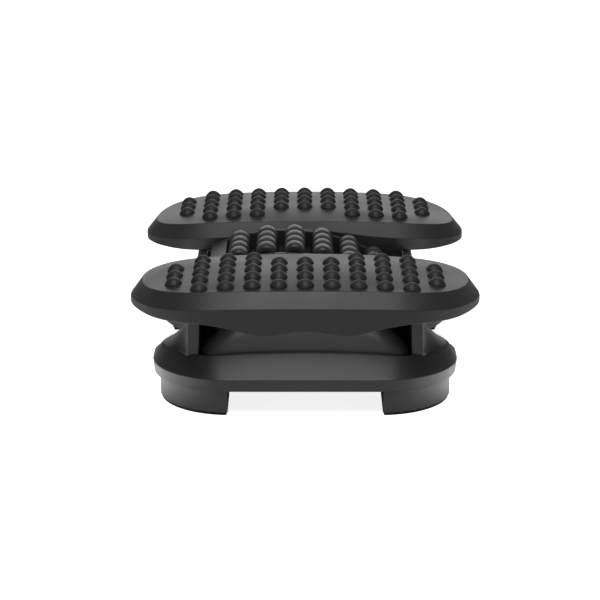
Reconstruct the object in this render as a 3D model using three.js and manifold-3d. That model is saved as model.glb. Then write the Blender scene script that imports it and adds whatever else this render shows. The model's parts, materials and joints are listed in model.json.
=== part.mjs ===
// Tilting under-desk footrest, in millimetres, +Z up.
// X runs along the two foot pads, Y runs across them from the near pad to the far one.
// The origin is on the floor, under the middle of the base.
//
// A base with two cheeks carries a rocker on two side pins, so both pads tilt together.
// A cradle of six massage rollers rocks on its own axle between the pads.

import * as THREE from "three";
import { mergeVertices } from "three/addons/utils/BufferGeometryUtils.js";
import Module from "manifold-3d";

const manifoldLibrary = await Module();
manifoldLibrary.setup();

// Driving dimensions

// Gap kept between two pieces that sit on each other.
const seatGap = 0.3;
// How far a cutting tool runs past the face that it cuts.
const overrun = 2;
// Wall of the moulded shells.
const wall = 3;

// Tilt axis of the rocker, along X, and the cradle's axle, along Y.
const tiltAxisHeight = 74;
const cradleAxleHeight = 101.5;
// The cradle rests on one of its two stops, this many degrees off level.
const cradleLean = 7;

const foot = {
  sideInset: 5.6,
  endInset: 3,
  width: 74,
  length: 65,
  cornerInset: 5,
  get outerX() {
    return plinth.bottomHalfX - this.sideInset;
  },
  get outerY() {
    return plinth.bottomHalfY - this.endInset;
  },
  get innerX() {
    return this.outerX - this.width;
  },
  get innerY() {
    return this.outerY - this.length;
  },
  get cornerRadius() {
    return plinth.cornerRadius - this.cornerInset;
  },
  innerRadius: 8,
  soleThickness: 2.5,
  soleInset: 1.2,
  top: 27,
};

const plinth = {
  bottomHalfX: 159.6,
  rimHalfX: 161,
  rimHeight: 40,
  shoulderHalfX: 152,
  // Both long sides draw in towards the middle, the rim and the shoulder each in its own way.
  rimWaist: 29.5,
  rimWaistStart: 80,
  shoulderWaist: 25,
  shoulderWaistStart: 113,
  shoulderWaistEnd: 48,
  // How far the well, the shoulder, the rim and the underside reach past one another in Y.
  wellClearance: 3,
  shoulderLip: 2.2,
  slopeRun: 24.8,
  underRun: 1,
  get wellHalfY() {
    return saddle.halfLength + this.wellClearance;
  },
  get shoulderHalfY() {
    return this.wellHalfY + this.shoulderLip;
  },
  get rimHalfY() {
    return this.shoulderHalfY + this.slopeRun;
  },
  get bottomHalfY() {
    return this.rimHalfY - this.underRun;
  },
  crownHeight: 61.8,
  crownDrop: 3.8,
  crownDropReach: 100,
  cornerRadius: 82,
  shoulderRadius: 60,
  wellHalfX: 110.6,
  wellRadius: 8,
};

const basePlate = {
  thickness: 3,
  sideGap: 0.6,
  screwFromWell: 15.4,
  screwFromEnd: 89,
  get screwX() {
    return plinth.wellHalfX + this.screwFromWell;
  },
  get screwY() {
    return plinth.bottomHalfY - this.screwFromEnd;
  },
};

const cheek = {
  innerFootX: 110.6,
  innerTopX: 109.4,
  outerFootX: 150,
  outerTopX: 120.4,
  endSetback: 4.5,
  get halfLength() {
    return plinth.wellHalfY - this.endSetback;
  },
  endHeight: 98,
  middleHeight: 88,
};

const tiltPin = {
  radius: 5,
  clearance: 0.3,
  bushRadius: 9,
  headRadius: 8,
  headLength: 3,
};

const saddle = {
  archRadius: 138.3,
  archCentreHeight: -26,
  maxHalfX: 109.2,
  halfLength: 155,
  edgeRound: 20,
  innerEnd: 56,
  bottom: 54,
  bulkhead: 4,
  postX: 50,
  postFromEnd: 31,
  get postY() {
    return this.halfLength - this.postFromEnd;
  },
  postRadius: 8,
  postBottom: 94,
  postTop: 122,
};

const beam = {
  innerX: 84,
  outerX: 98,
  bottom: 62,
  top: 83.9,
};

const pad = {
  // The crown falls by the first value with the square of the share of the way to the tip,
  // and by the second with its fourth power.
  crownFall: 4.6,
  tipFall: 5.4,
  pillowRise: 4.5,
  topHalfX: 169.5,
  rimHalfX: 182,
  topInner: 68,
  topTip: 120,
  topOuter: 210.8,
  rimInner: 57.5,
  rimTip: 124,
  rimOuter: 223.8,
  topHeight: 142.6,
  rimHeight: 127.6,
  skirtBottom: 110.5,
  bossRadius: 7,
  railBossRadius: 4.5,
};

// Half outlines of a pad, from its tip to its middle. Each point is a share of the half
// length, then a share of the way across from the tip to the straight edge.
const topOuterShares = [
  [1, 0],
  [0.989, 0.275],
  [0.956, 0.474],
  [0.867, 0.738],
  [0.755, 0.881],
  [0.537, 0.978],
  [0, 1],
];
const topInnerShares = [
  [1, 0],
  [0.991, 0.192],
  [0.968, 0.423],
  [0.92, 0.635],
  [0.82, 0.837],
  [0.496, 0.956],
  [0, 1],
];
const rimOuterShares = [
  [1, 0],
  [0.989, 0.22],
  [0.896, 0.566],
  [0.769, 0.842],
  [0.632, 0.974],
  [0.494, 1],
  [0, 1],
];
const rimInnerShares = [
  [1, 0],
  [0.989, 0.113],
  [0.94, 0.376],
  [0.879, 0.617],
  [0.764, 0.872],
  [0.687, 0.932],
  [0.516, 0.966],
  [0, 1],
];

// The skirt beside the cradle arches up to clear the saddle and the rollers.
const innerArch = {
  halfWidth: 95,
  rise: 8.5,
};

// The outer skirt hangs lower in the middle and arches up again at its centre.
const apron = {
  halfWidth: 112,
  depth: 12,
  deepestX: 40,
  centreRise: 6,
};

const skin = {
  thickness: 2,
  inset: 1.5,
};

const nub = {
  radius: 9.2,
  height: 7.3,
  pitchX: 26.9,
  pitchY: 25.1,
  firstRow: 94.5,
  rows: 5,
  columnsEachSide: 5,
};

const rail = {
  innerX: 109.6,
  outerX: 120.2,
  bottom: 104.5,
  top: 110.2,
  bevel: 4.5,
  halfLength: 90,
};

const roller = {
  count: 6,
  pitchDegrees: 8.7,
  beadRadius: 12.15,
  waistRadius: 9.2,
  hubRadius: 7.6,
  beadPitch: 22.3,
  beads: 4,
  pinRadius: 2,
  pinClearance: 0.3,
};

const cradle = {
  // Radii are about the centre of the arc that the rollers lie on.
  rollerAxisRadius: 200,
  axleToArcCentre: 167.4,
  floorInner: 181.1,
  floorOuter: 184.6,
  rimTop: 203.5,
  railTop: 203.5,
  railBottom: 190,
  railStartDegrees: 26.8,
  railEndDegrees: 31.4,
  halfLength: 52,
  rimThickness: 5.5,
  hubRadius: 8,
  axleRadius: 4,
  axleClearance: 0.3,
  axleHalfLength: 60,
};

const stopPad = { halfX: 12, halfY: 4, thickness: 4.5, x: 56 };

const screw = { headRadius: 4.2, headHeight: 2.4, shankRadius: 2, clearance: 0.3 };

// Facets round small bores and pins, round nubs, and along the pads' edges.
const boreFacets = 12;
const nubFacets = 10;
const edgeColumns = 24;
const cornerSteps = 6;
const sideSteps = 14;
const roundSteps = 3;
// The rings that shape a pad's pillow, from its edge towards its middle.
const pillowShares = [1, 0.8, 0.6, 0.4, 0.15];

// Materials

function plastic(name, color, roughness) {
  return new THREE.MeshStandardMaterial({ name, color, roughness, metalness: 0 });
}

const materials = {
  shell: plastic("shell", 0x2b2b2d, 0.45),
  pad: plastic("pad", 0x303032, 0.42),
  grip: plastic("grip", 0x2c2c2e, 0.6),
  bead: plastic("bead", 0x2e2e30, 0.4),
  inner: plastic("inner", 0x161617, 0.6),
  rubber: plastic("rubber", 0x101011, 0.85),
  steel: new THREE.MeshStandardMaterial({
    name: "steel",
    color: 0x9a9ca0,
    roughness: 0.35,
    metalness: 1,
  }),
};

// Solids

function solidOf(geometry) {
  const bare = geometry.clone();
  bare.deleteAttribute("normal");
  bare.deleteAttribute("uv");
  const merged = mergeVertices(bare, 1e-4);
  const mesh = new manifoldLibrary.Mesh({
    numProp: 3,
    vertProperties: new Float32Array(merged.attributes.position.array),
    triVerts: new Uint32Array(merged.index.array),
  });
  return new manifoldLibrary.Manifold(mesh);
}

function geometryOf(solid) {
  const mesh = solid.getMesh();
  const geometry = new THREE.BufferGeometry();
  const positions = new Float32Array(mesh.numVert * 3);
  for (let i = 0; i < mesh.numVert; i += 1) {
    for (let axis = 0; axis < 3; axis += 1) {
      positions[i * 3 + axis] = mesh.vertProperties[i * mesh.numProp + axis];
    }
  }
  geometry.setAttribute("position", new THREE.BufferAttribute(positions, 3));
  geometry.setIndex(new THREE.BufferAttribute(new Uint32Array(mesh.triVerts), 1));
  geometry.computeVertexNormals();
  return geometry;
}

function joined(first, ...others) {
  return others.reduce((whole, piece) => whole.add(piece), first);
}

function cut(whole, ...tools) {
  return tools.reduce((rest, tool) => rest.subtract(tool), whole);
}

function block(minX, maxX, minY, maxY, minZ, maxZ) {
  const box = new THREE.BoxGeometry(maxX - minX, maxY - minY, maxZ - minZ);
  box.translate((minX + maxX) / 2, (minY + maxY) / 2, (minZ + maxZ) / 2);
  return solidOf(box);
}

const axisX = new THREE.Vector3(1, 0, 0);
const axisY = new THREE.Vector3(0, 1, 0);
const axisZ = new THREE.Vector3(0, 0, 1);

// A rod from one end to the other, both on a line along the given axis.
function rod(radius, axis, start, end, centre, facets = boreFacets) {
  const cylinder = new THREE.CylinderGeometry(radius, radius, end - start, facets);
  if (axis === axisX) {
    cylinder.rotateZ(-Math.PI / 2);
  }
  if (axis === axisZ) {
    cylinder.rotateX(Math.PI / 2);
  }
  const middle = axis.clone().multiplyScalar((start + end) / 2).add(centre);
  cylinder.translate(middle.x, middle.y, middle.z);
  return solidOf(cylinder);
}

// An outline drawn in X and Z, run along Y, with both ends rounded by the given radius.
function alongY(shape, minY, maxY, curveSegments = cornerSteps, edgeRound = 0) {
  const geometry = new THREE.ExtrudeGeometry(shape, {
    depth: maxY - minY - 2 * edgeRound,
    bevelEnabled: edgeRound > 0,
    bevelSize: edgeRound,
    bevelOffset: -edgeRound,
    bevelThickness: edgeRound,
    bevelSegments: roundSteps,
    curveSegments,
  });
  const turn = new THREE.Matrix4().makeBasis(axisX, axisZ, axisY.clone().negate());
  geometry.applyMatrix4(turn);
  geometry.translate(0, maxY - edgeRound, 0);
  return solidOf(geometry);
}

// An outline drawn in Y and Z, run along X.
function alongX(shape, minX, maxX, curveSegments = cornerSteps) {
  const geometry = new THREE.ExtrudeGeometry(shape, {
    depth: maxX - minX,
    bevelEnabled: false,
    curveSegments,
  });
  geometry.applyMatrix4(new THREE.Matrix4().makeBasis(axisY, axisZ, axisX));
  geometry.translate(minX, 0, 0);
  return solidOf(geometry);
}

// An outline drawn in X and Y, run up along Z.
function alongZ(shape, minZ, maxZ, curveSegments = cornerSteps) {
  const geometry = new THREE.ExtrudeGeometry(shape, {
    depth: maxZ - minZ,
    bevelEnabled: false,
    curveSegments,
  });
  geometry.translate(0, 0, minZ);
  return solidOf(geometry);
}

// Rings of points with the same count, joined one to the next.
// Without caps the last ring joins the first, which makes a frame.
function loft(rings, caps) {
  const count = rings[0].length;
  const positions = rings.flat().flatMap((point) => [point.x, point.y, point.z]);
  const index = [];
  const bands = caps ? rings.length - 1 : rings.length;
  for (let band = 0; band < bands; band += 1) {
    const low = band * count;
    const high = ((band + 1) % rings.length) * count;
    for (let i = 0; i < count; i += 1) {
      const next = (i + 1) % count;
      index.push(low + i, low + next, high + next);
      index.push(low + i, high + next, high + i);
    }
  }
  if (caps) {
    stripCap(index, 0, count, false);
    stripCap(index, (rings.length - 1) * count, count, true);
  }
  const geometry = new THREE.BufferGeometry();
  const buffer = new THREE.BufferAttribute(new Float32Array(positions), 3);
  geometry.setAttribute("position", buffer);
  geometry.setIndex(index);
  return solidOf(geometry);
}

// Closes a ring whose first point is one tip, with strips straight across it.
function stripCap(index, start, count, facesUp) {
  for (let i = 0; i < count / 2; i += 1) {
    const near = start + i;
    const nearNext = start + i + 1;
    const far = start + ((count - i) % count);
    const farNext = start + count - i - 1;
    const quad = [near, nearNext, farNext, near, farNext, far];
    for (let t = 0; t < quad.length; t += 3) {
      const [a, b, c] = quad.slice(t, t + 3);
      if (a !== b && b !== c && c !== a) {
        index.push(...(facesUp ? [a, b, c] : [a, c, b]));
      }
    }
  }
}

// Outlines

// A rounded rectangle as a ring, counter-clockwise from above. Its long sides draw in by waistAt.
function roundedRing(halfX, halfY, radius, heightAt, waistAt = () => 0) {
  const ring = [];
  const add = (x, y) => {
    const drawnIn = x - Math.sign(x) * waistAt(y);
    ring.push(new THREE.Vector3(drawnIn, y, heightAt(x, y)));
  };
  const corners = [
    [1, 1, 0],
    [-1, 1, 1],
    [-1, -1, 2],
    [1, -1, 3],
  ];
  for (const [signX, signY, quarter] of corners) {
    for (let step = 0; step <= cornerSteps; step += 1) {
      const angle = ((quarter + step / cornerSteps) * Math.PI) / 2;
      const x = signX * (halfX - radius) + radius * Math.cos(angle);
      const y = signY * (halfY - radius) + radius * Math.sin(angle);
      add(x, y);
    }
    // The long side that follows this corner.
    for (let step = 1; signX !== signY && step < sideSteps; step += 1) {
      add(signX * halfX, signY * (halfY - radius) * (1 - (2 * step) / sideSteps));
    }
  }
  return ring;
}

function roundedShape(halfX, halfY, radius, waistAt) {
  const points = roundedRing(halfX, halfY, radius, () => 0, waistAt);
  return new THREE.Shape(points.map((point) => new THREE.Vector2(point.x, point.y)));
}

function polygon(points) {
  return new THREE.Shape(points.map(([x, y]) => new THREE.Vector2(x, y)));
}

function radians(degrees) {
  return (degrees * Math.PI) / 180;
}

// A slice of a ring about the origin, between two angles from straight up.
function arcSlice(innerRadius, outerRadius, startDegrees, endDegrees) {
  const start = Math.PI / 2 - radians(endDegrees);
  const end = Math.PI / 2 - radians(startDegrees);
  const shape = new THREE.Shape();
  shape.absarc(0, 0, outerRadius, start, end, false);
  shape.absarc(0, 0, innerRadius, end, start, true);
  return shape;
}

// How far the pads' crown has dropped at a distance from the middle.
function archDrop(x) {
  const share = x / pad.topHalfX;
  return pad.crownFall * share ** 2 + pad.tipFall * share ** 4;
}

// How far across a half outline lies, at a share of the half length.
function outlineReader(shares) {
  const angles = shares.map(([along]) => Math.acos(along));
  const reaches = shares.map(([, across]) => across);
  const curve = new THREE.CubicInterpolant(angles, reaches, 1);
  return (along) => curve.evaluate(Math.acos(Math.min(1, Math.abs(along))))[0];
}

const padTopEdge = {
  halfX: pad.topHalfX,
  inner: pad.topInner,
  outer: pad.topOuter,
  tip: pad.topTip,
  outerAt: outlineReader(topOuterShares),
  innerAt: outlineReader(topInnerShares),
};
const padRimEdge = {
  halfX: pad.rimHalfX,
  inner: pad.rimInner,
  outer: pad.rimOuter,
  tip: pad.rimTip,
  outerAt: outlineReader(rimOuterShares),
  innerAt: outlineReader(rimInnerShares),
};

// One edge of a pad, from its left tip along the inner side and back along the outer side.
function padRing(edge, inset, heightAt) {
  const outer = [];
  const inner = [];
  for (let column = 0; column <= edgeColumns; column += 1) {
    const share = -Math.cos((Math.PI * column) / edgeColumns);
    const x = share * (edge.halfX - inset);
    const outerY = edge.tip + (edge.outer - inset - edge.tip) * edge.outerAt(share);
    const innerY = edge.tip - (edge.tip - edge.inner - inset) * edge.innerAt(share);
    outer.push(new THREE.Vector3(x, outerY, heightAt(x, outerY)));
    inner.push(new THREE.Vector3(x, innerY, heightAt(x, innerY)));
  }
  return [...inner, ...outer.slice(1, -1).reverse()];
}

function padSurface(below) {
  return (x) => pad.topHeight - below - archDrop(x);
}

// A share of 1 is the pad's top edge, and 0 its middle.
function pillowAt(share) {
  return pad.pillowRise * (1 - share ** 2);
}

// The share of the top edge's ring that passes through a point, by halving steps.
function padShareAt(x, y) {
  const edge = padTopEdge;
  let share = 0;
  for (let step = 1 / 2; step > 1 / 2 ** 12; step /= 2) {
    const tried = share + step;
    const along = Math.abs(x) / tried / edge.halfX;
    const outer = y > edge.tip;
    const reach = outer
      ? (edge.outer - edge.tip) * edge.outerAt(along)
      : (edge.tip - edge.inner) * edge.innerAt(along);
    if (along > 1 || Math.abs(y - edge.tip) > reach * tried) {
      share = tried;
    }
  }
  return share;
}

function shrunkRing(share) {
  return padRing(padTopEdge, skin.inset, () => 0).map((point) => {
    const x = point.x * share;
    const y = padTopEdge.tip + (point.y - padTopEdge.tip) * share;
    return new THREE.Vector3(x, y, padSurface(0)(x) + pillowAt(share));
  });
}

function eased(share) {
  const held = Math.max(0, Math.min(1, share));
  return held * held * (3 - 2 * held);
}

// How far the edges beside the cradle are lifted.
function innerLift(x, y) {
  return y < pad.rimTip ? innerArch.rise * eased(1 - Math.abs(x) / innerArch.halfWidth) : 0;
}

function rimSurface(x, y) {
  return pad.rimHeight - archDrop(x) + innerLift(x, y);
}

// The skirt's lower edge is level, but for the apron on the outer side and the inner arch.
function skirtEdgeHeight(x, y) {
  const distance = Math.abs(x);
  if (y < pad.rimTip || distance >= apron.halfWidth) {
    return pad.skirtBottom + innerLift(x, y);
  }
  if (distance > apron.deepestX) {
    const share = (apron.halfWidth - distance) / (apron.halfWidth - apron.deepestX);
    return pad.skirtBottom - apron.depth * eased(share);
  }
  const share = 1 - distance / apron.deepestX;
  return pad.skirtBottom - apron.depth + apron.centreRise * eased(share);
}

// Base

function footOutline(inset) {
  const limit = polygon([
    [foot.innerX + inset, foot.innerY + inset],
    [foot.outerX, foot.innerY + inset],
    [foot.outerX, foot.outerY],
    [foot.innerX + inset, foot.outerY],
  ]);
  const outer = roundedShape(
    foot.outerX - inset,
    foot.outerY - inset,
    foot.cornerRadius - inset,
  );
  return [limit, outer];
}

function footBlock(inset, minZ, maxZ) {
  const [limit, outer] = footOutline(inset);
  return alongZ(limit, minZ, maxZ).intersect(alongZ(outer, minZ, maxZ));
}

function plateScrewPlaces() {
  return [
    [1, 1],
    [-1, 1],
    [-1, -1],
    [1, -1],
  ].map(([signX, signY]) => [signX * basePlate.screwX, signY * basePlate.screwY]);
}

function crownAt(x) {
  const share = Math.min(1, Math.abs(x) / plinth.crownDropReach);
  return plinth.crownHeight - plinth.crownDrop * share * share;
}

function rimWaistAt(y) {
  const share = (plinth.rimWaistStart - Math.abs(y)) / plinth.rimWaistStart;
  return plinth.rimWaist * eased(share);
}

function shoulderWaistAt(y) {
  const run = plinth.shoulderWaistStart - plinth.shoulderWaistEnd;
  return plinth.shoulderWaist * eased((plinth.shoulderWaistStart - Math.abs(y)) / run);
}

function plinthShell() {
  const level = (height) => () => height;
  const crown = (below) => (x) => crownAt(x) - below;
  const rings = [
    roundedRing(
      plinth.bottomHalfX,
      plinth.bottomHalfY,
      plinth.cornerRadius,
      level(foot.top),
      rimWaistAt,
    ),
    roundedRing(
      plinth.rimHalfX,
      plinth.rimHalfY,
      plinth.cornerRadius,
      level(plinth.rimHeight),
      rimWaistAt,
    ),
    roundedRing(
      plinth.shoulderHalfX,
      plinth.shoulderHalfY,
      plinth.shoulderRadius,
      crown(0),
      shoulderWaistAt,
    ),
    roundedRing(plinth.wellHalfX, plinth.wellHalfY, plinth.wellRadius, crown(0)),
    roundedRing(plinth.wellHalfX, plinth.wellHalfY, plinth.wellRadius, crown(wall)),
    roundedRing(
      plinth.shoulderHalfX - wall,
      plinth.shoulderHalfY - wall / 2,
      plinth.shoulderRadius - wall,
      crown(wall),
      shoulderWaistAt,
    ),
    roundedRing(
      plinth.rimHalfX - wall,
      plinth.rimHalfY - wall,
      plinth.cornerRadius - wall,
      level(plinth.rimHeight - wall / 2),
      rimWaistAt,
    ),
    roundedRing(
      plinth.bottomHalfX - wall,
      plinth.bottomHalfY - wall,
      plinth.cornerRadius - wall,
      level(foot.top),
      rimWaistAt,
    ),
  ];
  return loft(rings, false);
}

// The cheek's section, in X and Z: an upright wall whose outside sweeps out to the shoulder.
function cheekSection() {
  const shape = new THREE.Shape();
  const footHeight = plinth.crownHeight - plinth.crownDrop - wall / 2;
  const sweepTop = (tiltAxisHeight + cheek.middleHeight) / 2;
  shape.moveTo(cheek.innerFootX, footHeight);
  shape.lineTo(cheek.outerFootX, footHeight);
  shape.lineTo(cheek.outerFootX, footHeight + wall / 2);
  shape.bezierCurveTo(
    cheek.outerFootX - (cheek.outerFootX - cheek.outerTopX) / 2,
    footHeight + wall * 2,
    cheek.outerTopX + wall,
    tiltAxisHeight - wall,
    cheek.outerTopX + wall / 2,
    sweepTop,
  );
  shape.lineTo(cheek.outerTopX, cheek.endHeight);
  shape.lineTo(cheek.innerTopX, cheek.endHeight);
  return shape;
}

// The cheek from the side, in Y and Z: low in the middle, higher towards both ends.
function cheekSide() {
  const low = plinth.crownHeight - plinth.crownDrop - wall;
  const shape = new THREE.Shape();
  shape.moveTo(-cheek.halfLength, low);
  shape.lineTo(cheek.halfLength, low);
  shape.lineTo(cheek.halfLength, cheek.endHeight);
  shape.quadraticCurveTo(
    0,
    2 * cheek.middleHeight - cheek.endHeight,
    -cheek.halfLength,
    cheek.endHeight,
  );
  return shape;
}

function baseShell() {
  const reach = plinth.rimHalfX + overrun;
  const bore = new THREE.Vector3(0, 0, tiltAxisHeight);
  let whole = plinthShell();
  for (const side of [1, -1]) {
    let wing = alongY(cheekSection(), -cheek.halfLength, cheek.halfLength);
    wing = wing.intersect(alongX(cheekSide(), cheek.innerTopX - wall, reach));
    const plan = roundedShape(
      plinth.shoulderHalfX,
      plinth.shoulderHalfY,
      plinth.shoulderRadius,
      shoulderWaistAt,
    );
    wing = wing.intersect(alongZ(plan, foot.top, cheek.endHeight + overrun));
    wing = side === 1 ? wing : wing.mirror([1, 0, 0]);
    whole = whole.add(wing);
  }
  const pinBore = tiltPin.radius + tiltPin.clearance;
  return cut(whole, rod(pinBore, axisX, -reach, reach, bore));
}

function bottomPlate() {
  const gap = wall + basePlate.sideGap;
  const outline = roundedShape(
    plinth.bottomHalfX - gap,
    plinth.bottomHalfY - gap,
    plinth.cornerRadius - gap,
    rimWaistAt,
  );
  let plate = alongZ(outline, foot.top, foot.top + basePlate.thickness);
  for (const [x, y] of plateScrewPlaces()) {
    const place = new THREE.Vector3(x, y, 0);
    const hole = screw.shankRadius + screw.clearance;
    const low = foot.top - overrun;
    const high = foot.top + basePlate.thickness + overrun;
    plate = plate.subtract(rod(hole, axisZ, low, high, place));
  }
  return plate;
}

// Screw towers stand in the base shell above the plate.
function baseShellWithTowers() {
  let shell = baseShell();
  for (const [x, y] of plateScrewPlaces()) {
    const place = new THREE.Vector3(x, y, 0);
    const low = foot.top + basePlate.thickness + seatGap;
    const high = plinth.crownHeight - plinth.crownDrop - wall / 2;
    shell = shell.add(rod(screw.headRadius + wall / 2, axisZ, low, high, place));
    const hole = screw.shankRadius + screw.clearance;
    shell = shell.subtract(rod(hole, axisZ, low - overrun, low + wall * 3, place));
  }
  return shell;
}

function screwSolid(shankLength) {
  const profile = [
    [0, -screw.headHeight],
    [screw.headRadius, -screw.headHeight],
    [screw.headRadius, 0],
    [screw.shankRadius, 0],
    [screw.shankRadius, shankLength],
    [0, shankLength],
  ].map(([radius, height]) => new THREE.Vector2(radius, height));
  const geometry = new THREE.LatheGeometry(profile, boreFacets);
  geometry.rotateX(Math.PI / 2);
  return solidOf(geometry);
}

// Rocker

// A ring round the arch-shaped hump under one pad, from its top down the right side and back.
function saddleRing(y, inset) {
  const halfX = saddle.maxHalfX - inset;
  const radius = saddle.archRadius - inset;
  const low = saddle.bottom - saddle.edgeRound;
  const steps = cornerSteps * 2;
  const sweep = Math.asin(halfX / radius);
  const side = [];
  for (let step = 1; step <= steps; step += 1) {
    const angle = (sweep * step) / steps;
    side.push([radius * Math.sin(angle), saddle.archCentreHeight + radius * Math.cos(angle)]);
  }
  side.push([halfX, low]);
  const top = [0, saddle.archCentreHeight + radius];
  const mirrored = side.map(([x, z]) => [-x, z]).reverse();
  return [top, ...side, [0, low], ...mirrored].map(([x, z]) => new THREE.Vector3(x, y, z));
}

// The hump, with only its outer end rounded.
function saddleHump(inset, start) {
  const round = saddle.edgeRound - inset;
  const end = saddle.halfLength - saddle.edgeRound;
  const rings = [saddleRing(start, inset)];
  for (let step = 0; step <= roundSteps * 2; step += 1) {
    const angle = (Math.PI * step) / (roundSteps * 4);
    const ringInset = inset + round * (1 - Math.cos(angle));
    rings.push(saddleRing(end + round * Math.sin(angle), ringInset));
  }
  return loft(rings, true);
}

// The solid for the pad at +Y; its twin is turned half a turn.
function saddleSolid() {
  const end = saddle.halfLength;
  const side = saddle.maxHalfX + overrun;
  const below = saddle.bottom - saddle.edgeRound - overrun;
  const floor = block(-side, side, 0, end + overrun, below, saddle.bottom);
  const trimmed = saddleHump(0, saddle.innerEnd).subtract(floor);
  const hollow = saddleHump(wall, saddle.innerEnd + saddle.bulkhead);
  let whole = trimmed.subtract(hollow);
  for (const side of [1, -1]) {
    const place = new THREE.Vector3(side * saddle.postX, saddle.postY, 0);
    whole = whole.add(
      rod(saddle.postRadius, axisZ, saddle.postBottom, saddle.postTop, place),
    );
    const hole = screw.shankRadius + screw.clearance;
    const low = saddle.postBottom - overrun;
    const high = saddle.postTop + overrun;
    whole = whole.subtract(rod(hole, axisZ, low, high, place));
  }
  const axle = new THREE.Vector3(0, 0, cradleAxleHeight);
  const axleHole = cradle.axleRadius + cradle.axleClearance;
  const start = saddle.innerEnd - overrun;
  return whole.subtract(rod(axleHole, axisY, start, cradle.axleHalfLength + 1, axle));
}

// A beam ties the two saddles together on each side and holds the tilt pin.
function beamSolid() {
  const end = saddle.innerEnd - seatGap;
  const bar = block(beam.innerX, beam.outerX, -end, end, beam.bottom, beam.top);
  const centre = new THREE.Vector3(0, 0, tiltAxisHeight);
  const hole = tiltPin.radius + tiltPin.clearance;
  return bar.subtract(
    rod(hole, axisX, beam.innerX - overrun, beam.outerX + overrun, centre),
  );
}

function bushSolid() {
  const centre = new THREE.Vector3(0, 0, tiltAxisHeight);
  const start = beam.outerX + seatGap;
  const end = cheek.innerTopX - seatGap;
  const outer = rod(tiltPin.bushRadius, axisX, start, end, centre);
  const hole = tiltPin.radius + tiltPin.clearance;
  return outer.subtract(rod(hole, axisX, start - overrun, end + overrun, centre));
}

function tiltPinSolid() {
  const centre = new THREE.Vector3(0, 0, tiltAxisHeight);
  const headStart = beam.innerX - tiltPin.headLength - seatGap;
  const shank = rod(tiltPin.radius, axisX, headStart, cheek.outerTopX, centre);
  const headEnd = headStart + tiltPin.headLength;
  return shank.add(rod(tiltPin.headRadius, axisX, headStart, headEnd, centre));
}

// Pads

// The moulded pad at +Y; its twin is turned half a turn.
function padShell() {
  const ceiling = padSurface(skin.thickness + wall);
  const rings = [
    padRing(padTopEdge, wall, ceiling),
    padRing(padRimEdge, wall, (x, y) => rimSurface(x, y) - wall / 2),
    padRing(padRimEdge, wall, skirtEdgeHeight),
    padRing(padRimEdge, 0, skirtEdgeHeight),
    padRing(padRimEdge, 0, rimSurface),
    padRing(padTopEdge, 0, padSurface(0)),
    padRing(padTopEdge, skin.inset - seatGap, padSurface(0)),
    padRing(padTopEdge, skin.inset - seatGap, padSurface(skin.thickness + seatGap)),
  ];
  let whole = loft(rings, true);
  for (const side of [1, -1]) {
    const place = new THREE.Vector3(side * saddle.postX, saddle.postY, 0);
    const low = saddle.postTop + seatGap;
    const high = ceiling(saddle.postX) + wall / 2;
    whole = whole.add(rod(pad.bossRadius, axisZ, low, high, place));
    const hole = screw.shankRadius + screw.clearance;
    whole = whole.subtract(rod(hole, axisZ, low - overrun, high - wall / 2, place));
    const railX = (side * (rail.innerX + rail.outerX)) / 2;
    const railY = rail.halfLength - pad.railBossRadius;
    const railPlace = new THREE.Vector3(railX, railY, 0);
    const railTop = rail.top + seatGap;
    const railHigh = ceiling(railX) + wall / 2;
    whole = whole.add(rod(pad.railBossRadius, axisZ, railTop, railHigh, railPlace));
  }
  return whole;
}

function nubPlaces() {
  const places = [];
  for (let column = -nub.columnsEachSide; column <= nub.columnsEachSide; column += 1) {
    for (let row = 0; row < nub.rows; row += 1) {
      const outermost = Math.abs(column) === nub.columnsEachSide;
      const central = Math.abs(column) <= 1;
      if (outermost && (row === 0 || row === nub.rows - 1)) {
        continue;
      }
      if (central && row === 0) {
        continue;
      }
      places.push([column * nub.pitchX, nub.firstRow + row * nub.pitchY]);
    }
  }
  return places;
}

function nubSolid() {
  const profile = [
    [0, -skin.thickness / 2],
    [nub.radius, -skin.thickness / 2],
    [nub.radius, 0],
    [nub.radius * 0.78, nub.height * 0.58],
    [nub.radius * 0.4, nub.height * 0.92],
    [0, nub.height],
  ].map(([radius, height]) => new THREE.Vector2(radius, height));
  const geometry = new THREE.LatheGeometry(profile, nubFacets);
  geometry.rotateX(Math.PI / 2);
  return solidOf(geometry);
}

function gripSkin() {
  const rings = [
    padRing(padTopEdge, skin.inset, padSurface(skin.thickness)),
    ...pillowShares.map((share) => shrunkRing(share)),
  ];
  const dome = nubSolid();
  const surface = padSurface(0);
  const domes = nubPlaces().map(([x, y]) =>
    dome.translate([x, y, surface(x) + pillowAt(padShareAt(x, y))]),
  );
  return joined(loft(rings, true), ...domes);
}

// A rail on each side closes the gap between the two pads beside the cradle.
function railSolid() {
  const outline = polygon([
    [rail.innerX, rail.bottom],
    [rail.outerX, rail.bottom],
    [rail.outerX, rail.top - rail.bevel],
    [rail.outerX - rail.bevel, rail.top],
    [rail.innerX, rail.top],
  ]);
  return alongY(outline, -rail.halfLength, rail.halfLength);
}

// Cradle, drawn about its arc's centre

function rollerAngles() {
  const first = (-(roller.count - 1) / 2) * roller.pitchDegrees;
  return Array.from(
    { length: roller.count },
    (_, index) => first + index * roller.pitchDegrees,
  );
}

function rollerCentre(angleDegrees) {
  const angle = radians(angleDegrees);
  return new THREE.Vector3(
    cradle.rollerAxisRadius * Math.sin(angle),
    0,
    cradle.rollerAxisRadius * Math.cos(angle) - cradle.axleToArcCentre,
  );
}

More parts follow.
